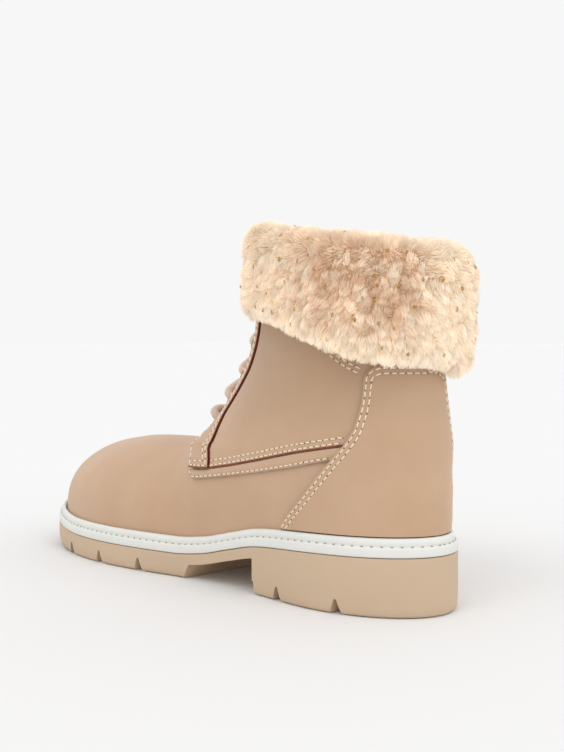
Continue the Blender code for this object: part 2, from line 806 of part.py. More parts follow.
def make_heel_counter(parts, finish):
    bottom = 0.0005
    rows = 12
    share = np.linspace(0, 1, rows)
    share = 0.6 * share + 0.4 * np.sin(share * math.pi / 2)
    sweep = np.linspace(-1, 1, 17)
    grid = np.zeros((rows, len(sweep), 3))
    for j, turn in enumerate(sweep):
        side = 1 if turn >= 0 else -1
        foot = float(counter_reach(0.031))
        along = foot * turn**2
        floor = welt_floor(along) + BEAD_HEIGHT + bottom
        height = floor + (COUNTER_TOP - floor) * share
        back = back_line(height)
        along = back + (counter_reach(height) - back) * abs(turn) ** 1.7
        grid[:, j] = last_point(along, height, side, counter_offset(along, height))
    return leather_sheet("heel_counter", grid, COUNTER_PANEL, parts, finish)


def eyestay_side_view():
    """Side-view grid of one eyestay: its lacing edge and its back edge."""
    down, foot = EYESTAY_ROWS - 4, 4
    reaches = np.linspace(COLLAR_FRONT, THROAT_FOOT, down)
    lacing = [beside_crest(r, THROAT_HALF_GAP + 0.0004) for r in reaches]
    foot_line = scaled(QUARTER_FRONT)
    foot_line[-1] = lacing[-1]
    lacing += list(resample(foot_line, foot + 1)[::-1][1:])
    lacing = np.array(lacing)
    back = eyestay_back_line(down + foot)
    share = np.linspace(0, 1, 5)[None, :, None]
    return lacing[:, None] + (back - lacing)[:, None] * share


def make_eyestay(name, side, parts, finish):
    grid = eyestay_side_view()
    points = last_point(grid[..., 0], grid[..., 1], side, LAYER_GAP)
    return leather_sheet(name, points, EYESTAY_FACE - LAYER_GAP, parts, finish)


def make_tongue(parts, finish):
    """A padded tongue under the throat, from below the vamp to just under the cuff's top."""
    inset = WALL + 4 * LAYER_GAP + TONGUE_THICKNESS
    reaches = np.linspace(reach_at_height(SHAFT_HEIGHT + 0.012), THROAT_FOOT + 0.018, 13)
    grid = []
    for r in reaches:
        row = []
        for share in np.linspace(-1, 1, 8):
            side = 1 if share >= 0 else -1
            down = float(ease((r - reaches[0]) / 0.06))
            distance = abs(share) * (TONGUE_TOP + (TONGUE_FOOT - TONGUE_TOP) * down)
            along, height = beside_crest(r, max(distance, 0.0004), side)
            row.append(last_point(along, height, side, -inset))
        grid.append(row)
    return leather_sheet("tongue", np.array(grid), TONGUE_THICKNESS, parts, finish)


# Lacing
def eyelet_reach(row):
    """Distance down the crest of an eyelet row, counted from the lowest."""
    return reach_at_height(LOWEST_EYELET) - row * EYELET_PITCH


def eyelet_place(row, side):
    """Centre of an eyelet on the eyestay's face and the direction it looks."""
    along, height = beside_crest(eyelet_reach(row), THROAT_HALF_GAP + 0.0055, side)
    face = EYESTAY_FACE - 0.00005
    point = last_point(along, height, side, face)
    normal = outward(along, height, side)
    return Vector(point), Vector((normal[1], -normal[0], normal[2])).normalized()


def hole_cutter(name, point, normal, radius, length, group):
    shape = bmesh.new()
    bmesh.ops.create_cone(
        shape, cap_ends=True, segments=12, radius1=radius, radius2=radius, depth=length
    )
    turn = normal.to_track_quat("Z", "Y").to_matrix().to_4x4()
    bmesh.ops.transform(shape, matrix=turn, verts=shape.verts)
    bmesh.ops.translate(shape, vec=point, verts=shape.verts)
    mesh = bpy.data.meshes.new(name)
    shape.to_mesh(mesh)
    shape.free()
    obj = bpy.data.objects.new(name, mesh)
    group.objects.link(obj)
    obj.hide_render = True
    obj.display_type = "WIRE"
    return obj


def make_eyelet(name, point, normal, parts, finish):
    """A turned rim with a short barrel in the hole."""
    hole = LACE_DIAMETER / 2 - 0.0005
    outer = EYELET_RIM_RADIUS
    barrel = EYELET_HOLE_RADIUS - 0.0001
    profile = (
        (barrel, -0.0030),
        (barrel, 0.0006),
        (outer, 0.0006),
        (outer - 0.0006, 0.0012),
        (hole, 0.0011),
        (hole, -0.0030),
    )
    steps = 9
    points, faces = [], []
    for i in range(steps):
        angle = 2 * math.pi * i / steps
        for radius, rise in profile:
            points.append((radius * math.cos(angle), radius * math.sin(angle), rise))
    count = len(profile)
    for i in range(steps):
        for j in range(count):
            a, b = i * count + j, i * count + (j + 1) % count
            c, d = (i + 1) % steps * count + (j + 1) % count, (i + 1) % steps * count + j
            faces.append((a, b, c, d))
    obj = add_object(name, points, faces, parts, finish)
    turn = normal.to_track_quat("Z", "Y").to_matrix().to_4x4()
    obj.data.transform(turn)
    obj.location = point
    return obj


def lace_run(name, start, start_normal, end, end_normal, lift, stack, group):
    """One length of lace between two eyelets, bowed over the tongue."""
    clear = LACE_DIAMETER / 2 + 0.0028 + stack
    first = start + start_normal * clear
    last = end + end_normal * clear
    rise = (start_normal + end_normal).normalized()
    points = []
    for i in range(7):
        t = i / 6
        bow = math.sin(math.pi * t)
        points.append(first.lerp(last, t) + rise * (bow * lift))
    curve = bpy.data.curves.new(name, "CURVE")
    curve.dimensions = "3D"
    curve.bevel_depth = LACE_DIAMETER / 2
    curve.bevel_resolution = 1
    curve.use_fill_caps = True
    spline = curve.splines.new("POLY")
    spline.points.add(len(points) - 1)
    for p, q in zip(spline.points, points):
        p.co = (*q, 1.0)
    obj = bpy.data.objects.new(name, curve)
    group.objects.link(obj)
    return obj


def as_mesh(obj, group):
    """The evaluated curve as a closed mesh object in its place."""
    graph = bpy.context.evaluated_depsgraph_get()
    mesh = bpy.data.meshes.new_from_object(obj.evaluated_get(graph))
    shape = bmesh.new()
    shape.from_mesh(mesh)
    bmesh.ops.remove_doubles(shape, verts=shape.verts, dist=1e-6)
    bmesh.ops.recalc_face_normals(shape, faces=shape.faces)
    shape.to_mesh(mesh)
    shape.free()
    name = obj.name
    made = bpy.data.objects.new(name + "_mesh", mesh)
    made.matrix_world = obj.matrix_world
    bpy.data.objects.remove(obj)
    made.name = name
    group.objects.link(made)
    return made


def make_lace(parts, cutters, finish):
    """A bar across the lowest eyelets and a cross between each pair of rows, joined."""
    runs = []
    point, normal = {}, {}
    for row in range(EYELET_ROWS):
        for side in (1, -1):
            point[row, side], normal[row, side] = eyelet_place(row, side)
    plan = [((0, 1), (0, -1), 0.0020, -0.0004)]
    for row in range(EYELET_ROWS - 1):
        plan.append(((row, 1), (row + 1, -1), 0.0042, 0.0))
        plan.append(((row, -1), (row + 1, 1), 0.0034, 0.0007))
    for number, (a, b, lift, stack) in enumerate(plan):
        ends = (point[a], normal[a], point[b], normal[b])
        run = lace_run(f"lace_run_{number}", *ends, lift, stack, cutters)
        runs.append(as_mesh(run, cutters))
    lace = runs[0]
    lace.name = "lace"
    cutters.objects.unlink(lace)
    parts.objects.link(lace)
    lace.data.materials.append(finish)
    for run in runs[1:]:
        run.hide_render = True
        run.display_type = "WIRE"
        join = lace.modifiers.new("join_" + run.name, "BOOLEAN")
        join.operation = "UNION"
        join.solver = "EXACT"
        join.object = run
    return lace


# Fur cuff
def cuff_section(along, height, side, hem, top, tuft):
    """Section of the folded cuff: (distance out from the last, height), outer face first."""
    outside = EYESTAY_FACE + 8 * FIT_GAP
    inside = -WALL - LAYER_GAP - 4 * FIT_GAP
    thick = smooth(CUFF_THICKNESS, (along - back_line(height)) / SOLE_LENGTH)
    section = [(outside, hem + 0.002)]
    for j in range(CUFF_ROWS + 1):
        rise = j / CUFF_ROWS
        bulge = 0.86 + 0.14 * math.sin(math.pi * min(rise * 1.1, 1))
        lock = 0.5 + 0.5 * math.sin(2.4 * tuft + 1.9 * j) * math.cos(0.7 * tuft - 1.3 * j)
        droop = 0.0040 * lock if j == 0 else 0.0016 * lock
        level = hem + (top - 0.004 - hem) * rise - droop
        section.append((outside + thick * bulge - LOCK_DEPTH * (1 - lock), level))
    collar = float(collar_height(along)) + 0.0014
    section += [
        (outside + thick * 0.45, top - 0.0006 * (tuft % 3)),
        (inside - 0.0010, top - 0.0006),
        (inside - 0.0060, top - 0.0040),
        (inside - 0.0062, top - CUFF_LINING_DEPTH),
        (inside, top - CUFF_LINING_DEPTH - 0.001),
        (inside, collar),
        (outside, collar),
    ]
    return section


def make_fur_cuff(parts, finish):
    """A folded fur band over the collar: a long leg outside, a short one inside, and locks of fur
    that stand out from its face and hang from its hem. It is open in front, over the laces."""
    level = SHAFT_HEIGHT * 0.9
    back, front = float(back_line(level)), float(crest_along(level))
    end = beside_crest(reach_at_height(level), CUFF_HALF_GAP)[0]
    limit = math.acos(1 - 2 * (end - back) / (front - back)) / math.pi
    points, faces = [], []
    for i in range(CUFF_STEPS + 1):
        turn = 2 * i / CUFF_STEPS - 1
        side = 1 if turn < 0 else -1
        along = back + (front - back) * (1 - math.cos(math.pi * abs(turn) * limit)) / 2
        share = (along - back) / (front - back)
        hem = CUFF_HEM_BACK + (CUFF_HEM_FRONT - CUFF_HEM_BACK) * float(ease(share / 0.75))
        top = CUFF_TOP_BACK + (CUFF_TOP_FRONT - CUFF_TOP_BACK) * share
        normal = outward(along, level, side)
        flat = np.array([normal[1], -normal[0], 0.0])
        flat /= np.linalg.norm(flat)
        for offset, height in cuff_section(along, level, side, hem, top, i):
            body = last_point(along, height, side)
            points.append(np.array([body[0], body[1], height]) + flat * offset)
    count = len(points) // (CUFF_STEPS + 1)
    faces = grid_faces(CUFF_STEPS + 1, count, closed=True)
    faces += [tuple(range(count)), tuple(range(len(points) - 1, len(points) - count - 1, -1))]
    return add_object("fur_cuff", points, faces, parts, finish)


def main():
    clear_scene()
    parts = collection("left_ankle_boot")
    cutters = collection("cutters")
    nubuck = material("nubuck", NUBUCK, 0.75)
    strap = material("nubuck_strap", NUBUCK_STRAP, 0.7)
    make_outsole(parts, cutters, material("rubber", SOLE_BEIGE, 0.6))
    make_welt(parts, material("welt_white", WELT_WHITE, 0.5))
    make_insole(parts, material("sock_lining", INSOLE_CREAM, 0.9))
    upper = make_upper(parts, nubuck)
    make_quarter("quarter_outer", 1, parts, nubuck)
    make_quarter("quarter_inner", -1, parts, nubuck)
    make_side_band(parts, strap)
    make_heel_counter(parts, nubuck)
    eyestays = {
        1: make_eyestay("eyestay_outer", 1, parts, strap),
        -1: make_eyestay("eyestay_inner", -1, parts, strap),
    }
    make_tongue(parts, nubuck)
    gold = material("eyelet_metal", EYELET_GOLD, 0.35, 1.0)
    for side, word in ((1, "outer"), (-1, "inner")):
        for row in range(EYELET_ROWS):
            point, normal = eyelet_place(row, side)
            name = f"eyelet_{word}_{row + 1}"
            make_eyelet(name, point, normal, parts, gold)
            hole = hole_cutter("hole_" + name, point, normal, EYELET_HOLE_RADIUS + 0.0003, 0.02, cutters)
            for layer in (upper, eyestays[side]):
                cut(layer, hole)
    make_lace(parts, cutters, material("lace_cord", LACE_BEIGE, 0.85))
    make_fur_cuff(parts, material("fur", FUR_CREAM, 0.95))


main()
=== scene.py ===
"""Finish of a left ankle boot: leather panels on one last, stitching, lugged sole, stepped welt,
lacing and a folded fur cuff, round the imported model.

Sizes are metres. As in the model, "along" is the distance forward of the sole's back edge,
"height" the distance above the floor and "across" the distance from the boot's centre line.
"""

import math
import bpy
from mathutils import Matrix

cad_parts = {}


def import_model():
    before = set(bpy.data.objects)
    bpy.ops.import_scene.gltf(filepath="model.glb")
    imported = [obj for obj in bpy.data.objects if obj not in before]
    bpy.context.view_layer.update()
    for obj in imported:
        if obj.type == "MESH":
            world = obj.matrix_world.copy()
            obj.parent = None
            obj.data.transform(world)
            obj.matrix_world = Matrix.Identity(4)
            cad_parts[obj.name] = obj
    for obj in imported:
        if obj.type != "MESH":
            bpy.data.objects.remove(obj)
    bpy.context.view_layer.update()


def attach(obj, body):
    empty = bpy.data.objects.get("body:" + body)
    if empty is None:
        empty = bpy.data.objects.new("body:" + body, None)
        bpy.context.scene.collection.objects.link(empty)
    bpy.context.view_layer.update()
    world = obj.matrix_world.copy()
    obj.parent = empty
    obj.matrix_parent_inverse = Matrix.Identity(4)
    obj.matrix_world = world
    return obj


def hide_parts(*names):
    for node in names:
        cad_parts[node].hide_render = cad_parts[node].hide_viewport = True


bl_info = {
    "name": "Fur cuff ankle boot",
    "version": (1, 0, 0),
    "blender": (4, 5, 0),
    "location": "3D View > Sidebar > Boot",
    "description": "Models the finished surfaces of a lace-up ankle boot with a fur cuff",
    "category": "Object",
}

import bpy
import numpy as np
from bpy.props import FloatProperty, FloatVectorProperty, IntProperty, PointerProperty
from mathutils import Vector
from mathutils.bvhtree import BVHTree
from mathutils.kdtree import KDTree

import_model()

# Sizes shared with the model
SOLE_LENGTH = 0.272
SOLE_MARGIN = 0.0044
BALL_HALF_WIDTH = 0.0474
HEEL_HALF_WIDTH = 0.0310
TOE_SWING = 0.0055
HEEL_HEIGHT = 0.0247
FOREFOOT_HEIGHT = 0.0109
TOE_SPRING = 0.0065
HEEL_BLOCK_LENGTH = 0.0832
ARCH_END = 0.1305
ARCH_THICKNESS = 0.0050
ORIGIN_FROM_BACK = 0.048
TREAD_DEPTH = 0.0063
GROOVE_WIDTH = 0.0060
GROOVE_ROOF_WIDTH = 0.0018
GROOVE_PITCH = 0.0293
HEEL_GROOVE_START = 0.0332
HEEL_GROOVE_PITCH = 0.0332
FOREFOOT_GROOVE_START = 0.1590
BAND_HEIGHT = 0.0046
BEAD_HEIGHT = 0.0032
FIT_GAP = 0.0003
LAYER_GAP = 0.0006
PANEL_RELIEF = 0.00078
WALL = 0.0020
PANEL = 0.0012
BAND_PANEL = 0.0008
COUNTER_PANEL = 0.0013
EYESTAY_FACE = 0.0030
SHAFT_HEIGHT = 0.150
SHAFT_HALF_WIDTH = 0.0284
INSTEP_REACH = 0.153
INSTEP_FADE = 0.042
HEEL_FADE_START = 0.034
HEEL_FADE = 0.050
COLLAR_DIP = 0.004
COLLAR_RISE = 0.012
COLLAR_RUN = 0.080
COLLAR_FRONT_RISE = 0.008
VAMP_HEIGHT = 0.0625
THROAT_HALF_GAP = 0.0065
THROAT_FOOT_HEIGHT = 1.08 * VAMP_HEIGHT
COUNTER_TOP = 0.6887 * SHAFT_HEIGHT
INSOLE_THICKNESS = 0.0035
TONGUE_THICKNESS = 0.0032
TONGUE_TOP = 0.0165
TONGUE_FOOT = 0.0215
UNDER_COLLAR = 0.25 * SOLE_LENGTH
UNDER_THROAT = 0.434 * SOLE_LENGTH
EYELET_ROWS = 5
EYELET_PITCH = 0.0157
LOWEST_EYELET = 1.197 * VAMP_HEIGHT
EYELET_HOLE_RADIUS = 0.0021
EYELET_LINE = THROAT_HALF_GAP + 0.0055
LACE_DIAMETER = 0.0042
CUFF_THICKNESS = ((0.0, 0.0130), (0.12, 0.0115), (0.22, 0.0085), (0.40, 0.0070))
CUFF_TOP_BACK = 1.027 * SHAFT_HEIGHT
CUFF_TOP_FRONT = 1.127 * SHAFT_HEIGHT
CUFF_HEM_BACK = 0.670 * SHAFT_HEIGHT
CUFF_HEM_FRONT = 0.803 * SHAFT_HEIGHT
CUFF_HALF_GAP = 0.0185

# Plan of the upper's bottom edge: along as a share of the sole length, then the outer and inner
# half widths as shares of the ball's half width
PLAN = (
    (0.000, 0.654, 0.654), (0.202, 0.654, 0.654), (0.301, 0.641, 0.624),
    (0.386, 0.654, 0.568), (0.478, 0.717, 0.586), (0.588, 0.886, 0.722),
    (0.680, 0.983, 0.840), (0.735, 1.000, 0.865), (0.772, 0.987, 0.857),
    (0.846, 0.958, 0.827), (1.000, 0.939, 0.802),
)
# How far the centre line swings to the inner side: along share, share of the toe swing
SWING = ((0.0, 0.0), (0.40, 0.0), (0.60, 0.38), (0.80, 0.78), (1.0, 1.0))
HEEL_ROUND = 0.050
TOE_ROUND = 0.057
HEEL_POWER = 1.90
TOE_POWER = 2.15
# Top of the rubber: along share, share of the step from forefoot to heel height
TOP_OF_RUBBER = (
    (0.00, 1.00), (0.15, 0.95), (0.24, 0.86), (0.302, 0.75), (0.368, 0.47),
    (0.44, 0.14), (0.51, 0.00), (1.00, 0.00),
)
TOE_RISE_START = 0.77
TOE_RISE_POWER = 1.8
# Back line of the upper: height as a share of the shaft height, then the lean from the sole's back
BACK_LINE = (
    (0.15, 0.0060), (0.24, 0.0052), (0.33, 0.0049), (0.40, 0.0056), (0.47, 0.0068),
    (0.55, 0.0084), (0.63, 0.0100), (0.69, 0.0111), (0.80, 0.0119), (1.15, 0.0121),
)
# Half width of heel and shaft: height share of the shaft, share of the shaft's half width
SHAFT_WIDTH = (
    (0.15, 1.092), (0.30, 1.100), (0.40, 1.085), (0.53, 1.045), (0.67, 1.005),
    (0.80, 0.995), (1.15, 1.010),
)
# Crest of the boot from collar to toe tip: along as a share of the sole length, height as a share
# of the vamp height
CREST = (
    (0.3890, 3.300), (0.3875, 2.400), (0.3890, 2.080), (0.3930, 1.900), (0.4010, 1.780),
    (0.4170, 1.620), (0.4410, 1.470), (0.4680, 1.325), (0.5000, 1.175), (0.5310, 1.072),
    (0.5630, 1.025), (0.6100, 1.004), (0.6840, 0.998), (0.7720, 0.976), (0.8450, 0.928),
    (0.9040, 0.840), (0.9450, 0.720), (0.9700, 0.590), (0.9810, 0.455),
)
SHAFT_ROUND_BACK = 0.050
SHAFT_ROUND_FRONT = 0.051
VAMP_POWER = 2.55
# Seam lines in the side view: along share of the sole length, height share of the shaft height
QUARTER_EDGE = (
    (0.000, 0.500), (0.100, 0.471), (0.206, 0.437), (0.315, 0.396), (0.393, 0.368),
    (0.470, 0.348), (0.503, 0.350),
)
BAND_EDGE = (
    (0.000, 0.466), (0.121, 0.428), (0.254, 0.379), (0.380, 0.339), (0.490, 0.309),
)
# Front arc of the quarter, from its lower corner to the foot of the throat
QUARTER_FRONT = (
    (0.4835, 0.348), (0.4825, 0.372), (0.4850, 0.400), (0.4950, 0.428), (0.5264, 0.447),
)
# Back edge of the eyestay: a distance from the boot's middle down to a height on the crest, then
# side-view shares of the sole length and shaft height down to its corner on the quarter's edge
EYESTAY_HALF_WIDTH = 0.0208
EYESTAY_WIDTH_END = 0.653 * SHAFT_HEIGHT
EYESTAY_TAPER = 0.0018
EYESTAY_BACK = (
    (0.4119, 0.5526), (0.4308, 0.5062), (0.4332, 0.4680), (0.4310, 0.4258),
    (0.4290, 0.4040), (0.4282, 0.3850),
)
EYESTAY_CORNER = 0.428 * SOLE_LENGTH
# Front edge of the heel counter: height share of the shaft, reach from the sole's back
COUNTER_EDGE = (
    (0.15, 0.0695), (0.205, 0.0673), (0.31, 0.0530), (0.415, 0.0386), (0.465, 0.0326),
    (0.515, 0.0288), (0.595, 0.0268), (0.70, 0.0266),
)
COUNTER_CORNER = 0.0065

# The stretch of the foot that every surface looks away from: its front end and its height
FOOT_FRONT = -0.16
FOOT_LEVEL = 0.04

# Steps between the points of rims, edges, seams and dyed edges
RIM_STEP = 0.0004
EDGE_STEP = 0.0006
SEAM_STEP = 0.0003
DYED_STEP = 0.0002

# Seams and edges
EDGE_ROLL = 0.0009
EDGE_DROP = 0.0004
DYED_EDGE = 0.0006
FIRST_ROW = 0.0012
SECOND_ROW = 0.0034
ROW_DEPTH = 0.00028
ROW_WIDTH = 0.0006
ROW_CLEARANCE = 0.94
COUNTER_CLEARANCE = 0.0022
STITCH_LEAN = 0.05
# Needle holes, drawn as flat dark discs of painted shade: half length, half width, lift off the
# surface
NEEDLE_HOLE = (0.00032, 0.00026, 0.00005)
WELT_HOLE = (0.00062, 0.00034, 0.00022)
COLLAR_SEAM = (
    # distance forward of the sole's back, height
    (0.0235, 0.0993), (0.0289, 0.1019), (0.0351, 0.1051), (0.0430, 0.1105), (0.0720, 0.1330),
)
# The row that turns down at the back: distance from the middle, lean and the fall over which it
# leans, width and height of its corner, height of its end over the welt
BACK_SEAM = 0.0104
BACK_SEAM_LEAN = 0.0050
BACK_SEAM_FALL = 0.045
BACK_SEAM_CORNER = (0.0130, 0.0085)
BACK_SEAM_END = 0.0030

# Panels
# The upper sinks under the quarter: start above its lower edge, fade above that, fade forwards
RELIEF_FADE = (0.001, 0.006, 0.012)
# First guess of the side strip's start at the counter, length and height of its front corner
BAND_START = 0.0300
BAND_CORNER = (0.005, 0.0035)
BAND_PUFF = 0.0005
COUNTER_RISE = 0.0190
COUNTER_FOOT = 0.031
COUNTER_LIFT = 0.0005
FEATHER_BACK = 0.0050
FEATHER_FRONT = SOLE_LENGTH - SOLE_MARGIN
CREASES = (
    # where a crease starts, its lean, lowest and highest height, share of the depth
    (0.1480, 0.30, 0.0280, 0.0560, 0.7), (0.1600, 0.10, 0.0240, 0.0600, 1.0),
    (0.1740, -0.15, 0.0260, 0.0600, 0.8),
)
# Width of a crease, height over which its ends fade
CREASE_SIZES = (0.0045, 0.012)
# Heights between which the nubuck darkens with painted shade towards the cuff, and its brightness
# at each
PAINTED_CUFF_SHADE = (0.055, 0.115, 1.0, 0.83)

# Tongue: rise over the collar, reach below the throat, its widening's length, its top's rounding
TONGUE_RISE = 0.012
TONGUE_REACH = 0.018
TONGUE_WIDENING = 0.06
TONGUE_ROUND = 0.006
TONGUE_TIP = 0.0006
# Its seam (place in from its side, width, depth), flat edge (width, depth) and sag
TONGUE_SEAM = (0.0035, 0.0009, 0.0005)
TONGUE_FLAT = (0.0055, 0.0012)
TONGUE_SAG = 0.0003

# Eyelets and lace
EYELET_PROFILE = (
    # radius, rise over the eyestay's face
    (0.00200, -0.0030), (0.00200, 0.0002), (0.00340, 0.0000), (0.00354, 0.0001),
    (0.00346, 0.0003), (0.00312, 0.0004), (0.00260, 0.0004), (0.00205, 0.0003),
    (0.00175, 0.0002), (0.00170, 0.0000), (0.00170, -0.0030), (0.00200, -0.0030),
)
LACE_STRANDS = 60.0
LACE_SLACK = 0.0001
# Added to the lace's rise at its lowest and its topmost run, and the share of the way out to the
# eyelets over which that ends
LACE_LIFT = (0.0022, -0.0014)
LACE_SINK = 0.06
LACE_BAR = (
    # share of the way out to the eyelets, rise off the last
    (1.00, -0.0020), (1.00, 0.0030), (0.92, 0.0047), (0.70, 0.0054), (0.35, 0.0046),
    (0.00, 0.0042), (-0.35, 0.0046), (-0.70, 0.0054), (-0.92, 0.0047), (-1.00, 0.0030),
    (-1.00, -0.0020),
)
# One run between two rows: share of the way up, share of the way out to the eyelets, rise
LACE_UNDER = (
    (0.00, 1.00, 0.0000), (0.04, 0.92, -0.0036), (0.22, 0.58, -0.0032),
    (0.50, 0.00, -0.0012), (0.78, -0.58, -0.0032), (0.96, -0.92, -0.0036),
    (1.00, -1.00, 0.0000),
)
LACE_OVER = (
    (0.00, 1.00, 0.0030), (0.00, 0.96, 0.0043), (0.05, 0.78, 0.0051),
    (0.30, 0.34, 0.0047), (0.50, 0.00, 0.0034), (0.68, -0.36, 0.0000),
    (0.82, -0.62, -0.0036), (0.96, -0.92, -0.0036), (1.00, -1.00, 0.0000),
)
LACE_BELOW = (
    (0.00, 1.00, 0.0030), (0.00, 0.96, 0.0043), (0.05, 0.78, 0.0050),
    (0.27, 0.42, 0.0030), (0.50, 0.00, -0.0009), (0.68, -0.36, -0.0026),
    (0.82, -0.62, -0.0038), (0.96, -0.92, -0.0036), (1.00, -1.00, 0.0000),
)

# Sole and welt
SOLE_SECTION = (
    # margin beyond the welt's, rise over the ground or, from 5 mm on, over 10 mm below the top
    (-0.0020, 0.0000), (-0.0012, 0.0002), (-0.0006, 0.0007), (-0.0003, 0.0014),
    (0.0000, 0.0042), (0.0000, 0.0090), (-0.0001, 0.0097), (-0.0005, 0.0100),
)
WELT_SECTION = (
    # margin outside the upper, rise over the rubber
    (0.0039, 0.0000), (0.0043, 0.0002), (0.0044, 0.0006), (0.0044, 0.0034),
    (0.0042, 0.0039), (0.0037, 0.0042), (0.0031, 0.0041), (0.0028, 0.0044),
    (0.0029, 0.0050), (0.0029, 0.0060), (0.0026, 0.0069), (0.0021, 0.0075),
    (0.0014, 0.0078), (0.0008, 0.0075), (0.0005, 0.0068), (0.0004, 0.0046),
)
WELT_GROOVE = 6
# How far the side-view cutters stand out beyond the tread
CUT_PAST = 0.01

# Fur cuff
PILE_RISE = 0.0042
HEM_LIFT = 0.0046
HEM_DIP = 0.0046
END_ROUNDING = 0.0025
CUFF_OUTER = (
    # share of the fur body's thickness, share of the way up from hem to top
    (0.10, 0.045), (0.45, 0.000), (0.66, 0.020), (0.78, 0.100), (0.90, 0.300),
    (1.00, 0.600), (1.00, 0.800), (0.85, 0.930), (0.48, 0.988),
)
CUFF_INNER = (
    # distance inwards from the shaft's inner face, distance below the top
    (-0.0030, 0.0000), (0.0000, 0.0008), (0.0028, 0.0034), (0.0040, 0.0080),
    (0.0038, 0.0200), (0.0020, 0.0222), (0.0000, 0.0226),
)
FUR_SHARE = 0.80
FUR_CROWN = 0.46
FOIL_ROWS = 7
FOIL_SHARE = 0.62
# Half width, half length and half thickness of a dot
FOIL_DOT = (0.00068, 0.00108, 0.00022)
# Height at which the cuff's stations are set out, share of a half turn in which its ends round
CUFF_LEVEL = SHAFT_HEIGHT * 0.9
CUFF_END = 0.045
CUFF_THINNEST = 0.0022
CUFF_OVER_COLLAR = 0.0014
# Stations round the shaft and points round the section, and how often the section is rounded
CUFF_GRID = (150, 110)
CUFF_ROUNDS = 14
# Windows: start, end, length of the rise and of the fall
HEM_DIP_REACH = (-0.02, 0.28, 0.06, 0.12)
PATCH_BAND = (0.10, 0.80, 0.22, 0.20)
# Hairs: scale of their swirls, where they bend, how many start a lock, how far they join it
SWIRL_SCALE = 0.011
KNEE_SHARE = 0.55
LOCK_SHARE = 0.011
CLUMPING = 0.40
HAIR_HALF_WIDTH = (0.00013, 0.00019)
HAIRS_IN_A_MESH = 62000

# Stage
STUDIO_LIGHTS = (
    # name, azimuth from the toe, elevation, strength, spread
    ("key_light", 100.0, 55.0, 0.42, 30.0), ("back_light", 185.0, 38.0, 0.50, 40.0),
    ("top_light", 150.0, 80.0, 0.15, 60.0),
)
CAMERA_PLACE = (0.3507, 0.3377, 0.1148)
CAMERA_TURN = 0.879 - math.radians(8.5)
CAMERA_DIP = 0.035
CAMERA_LENS = 52.66


# Shape of the last
def smooth(table, x, column=1):
    """Monotone cubic through the table's rows (Fritsch and Carlson)."""
    rows = np.array(table, float)
    xs, ys = rows[:, 0], rows[:, column]
    steps = np.diff(xs)
    slopes = np.diff(ys) / steps
    tangents = np.zeros(len(xs))
    for i in range(1, len(xs) - 1):
        if slopes[i - 1] * slopes[i] > 0:
            tangents[i] = 2 * slopes[i - 1] * slopes[i] / (slopes[i - 1] + slopes[i])
    tangents[0], tangents[-1] = slopes[0], slopes[-1]
    x = np.clip(np.asarray(x, float), xs[0], xs[-1])
    i = np.clip(np.searchsorted(xs, x, side="right") - 1, 0, len(xs) - 2)
    t = (x - xs[i]) / steps[i]
    return (
        (2 * t**3 - 3 * t**2 + 1) * ys[i]
        + (t**3 - 2 * t**2 + t) * steps[i] * tangents[i]
        + (3 * t**2 - 2 * t**3) * ys[i + 1]
        + (t**3 - t**2) * steps[i] * tangents[i + 1]
    )


def ease(t):
    t = np.clip(t, 0.0, 1.0)
    return t * t * (3 - 2 * t)


def window(value, start, end, rise, fall):
    """One between start and end, eased to nothing over the first rise and the last fall."""
    return ease((value - start) / rise) * ease((end - value) / fall)


def round_end(share, power):
    """Square of the width that a rounded end leaves at a share of the rounding's length."""
    return (1 - (1 - share) ** power) ** (2 / power)


def distances(line):
    """Distance along a line from its start to each of its points."""
    return np.concatenate([[0], np.cumsum(np.linalg.norm(np.diff(line, axis=0), axis=1))])


def world(along, across, height):
    """A point of the boot in the frame of the model."""
    return np.stack(np.broadcast_arrays(across, ORIGIN_FROM_BACK - along, height), axis=-1)


def centre(along):
    return -TOE_SWING * smooth(SWING, along / SOLE_LENGTH)


def end_rounding(along):
    """Square of the share of the half width that the heel and toe rounding leave."""
    back = np.clip((along - FEATHER_BACK) / HEEL_ROUND, 0.0, 1.0)
    front = np.clip((FEATHER_FRONT - along) / TOE_ROUND, 0.0, 1.0)
    return round_end(back, HEEL_POWER) * round_end(front, TOE_POWER)


def plan_width(along, side):
    """Half width of the upper's bottom edge before the ends are rounded."""
    return BALL_HALF_WIDTH * smooth(PLAN, along / SOLE_LENGTH, 1 if side > 0 else 2)


def ground(along):
    """Height of the tread's underside: flat, then the toe spring."""
    t = np.clip((along / SOLE_LENGTH - TOE_RISE_START) / (1 - TOE_RISE_START), 0.0, 1.0)
    return TOE_SPRING * t**TOE_RISE_POWER


def rubber_top(along):
    share = smooth(TOP_OF_RUBBER, along / SOLE_LENGTH)
    return FOREFOOT_HEIGHT + (HEEL_HEIGHT - FOREFOOT_HEIGHT) * share + ground(along)


def welt_floor(along):
    """Top of the welt's floor, where the upper and the insole stand."""
    return rubber_top(along) + FIT_GAP + BAND_HEIGHT


def feather(along):
    return welt_floor(along) + 2 * FIT_GAP


def crest_table():
    """The crest as a dense smooth line of (along, height), from collar to toe tip."""
    rows = np.array([(a * SOLE_LENGTH, z * VAMP_HEIGHT) for a, z in CREST])
    reach = np.concatenate([[0], np.cumsum(np.hypot(*np.diff(rows, axis=0).T))])
    dense = np.linspace(0, reach[-1], 500)
    along = smooth(np.column_stack([reach, rows[:, 0]]), dense)
    height = smooth(np.column_stack([reach, rows[:, 1]]), dense)
    return dense, along, height


CREST_REACH, CREST_ALONG, CREST_HEIGHT = crest_table()


def crest_height(along):
    """Height of the crest over a point of the vamp or the instep."""
    lowest = int(np.argmin(CREST_ALONG))
    return np.interp(along, CREST_ALONG[lowest:], CREST_HEIGHT[lowest:])


def crest_along(height):
    return np.interp(height, CREST_HEIGHT[::-1], CREST_ALONG[::-1])


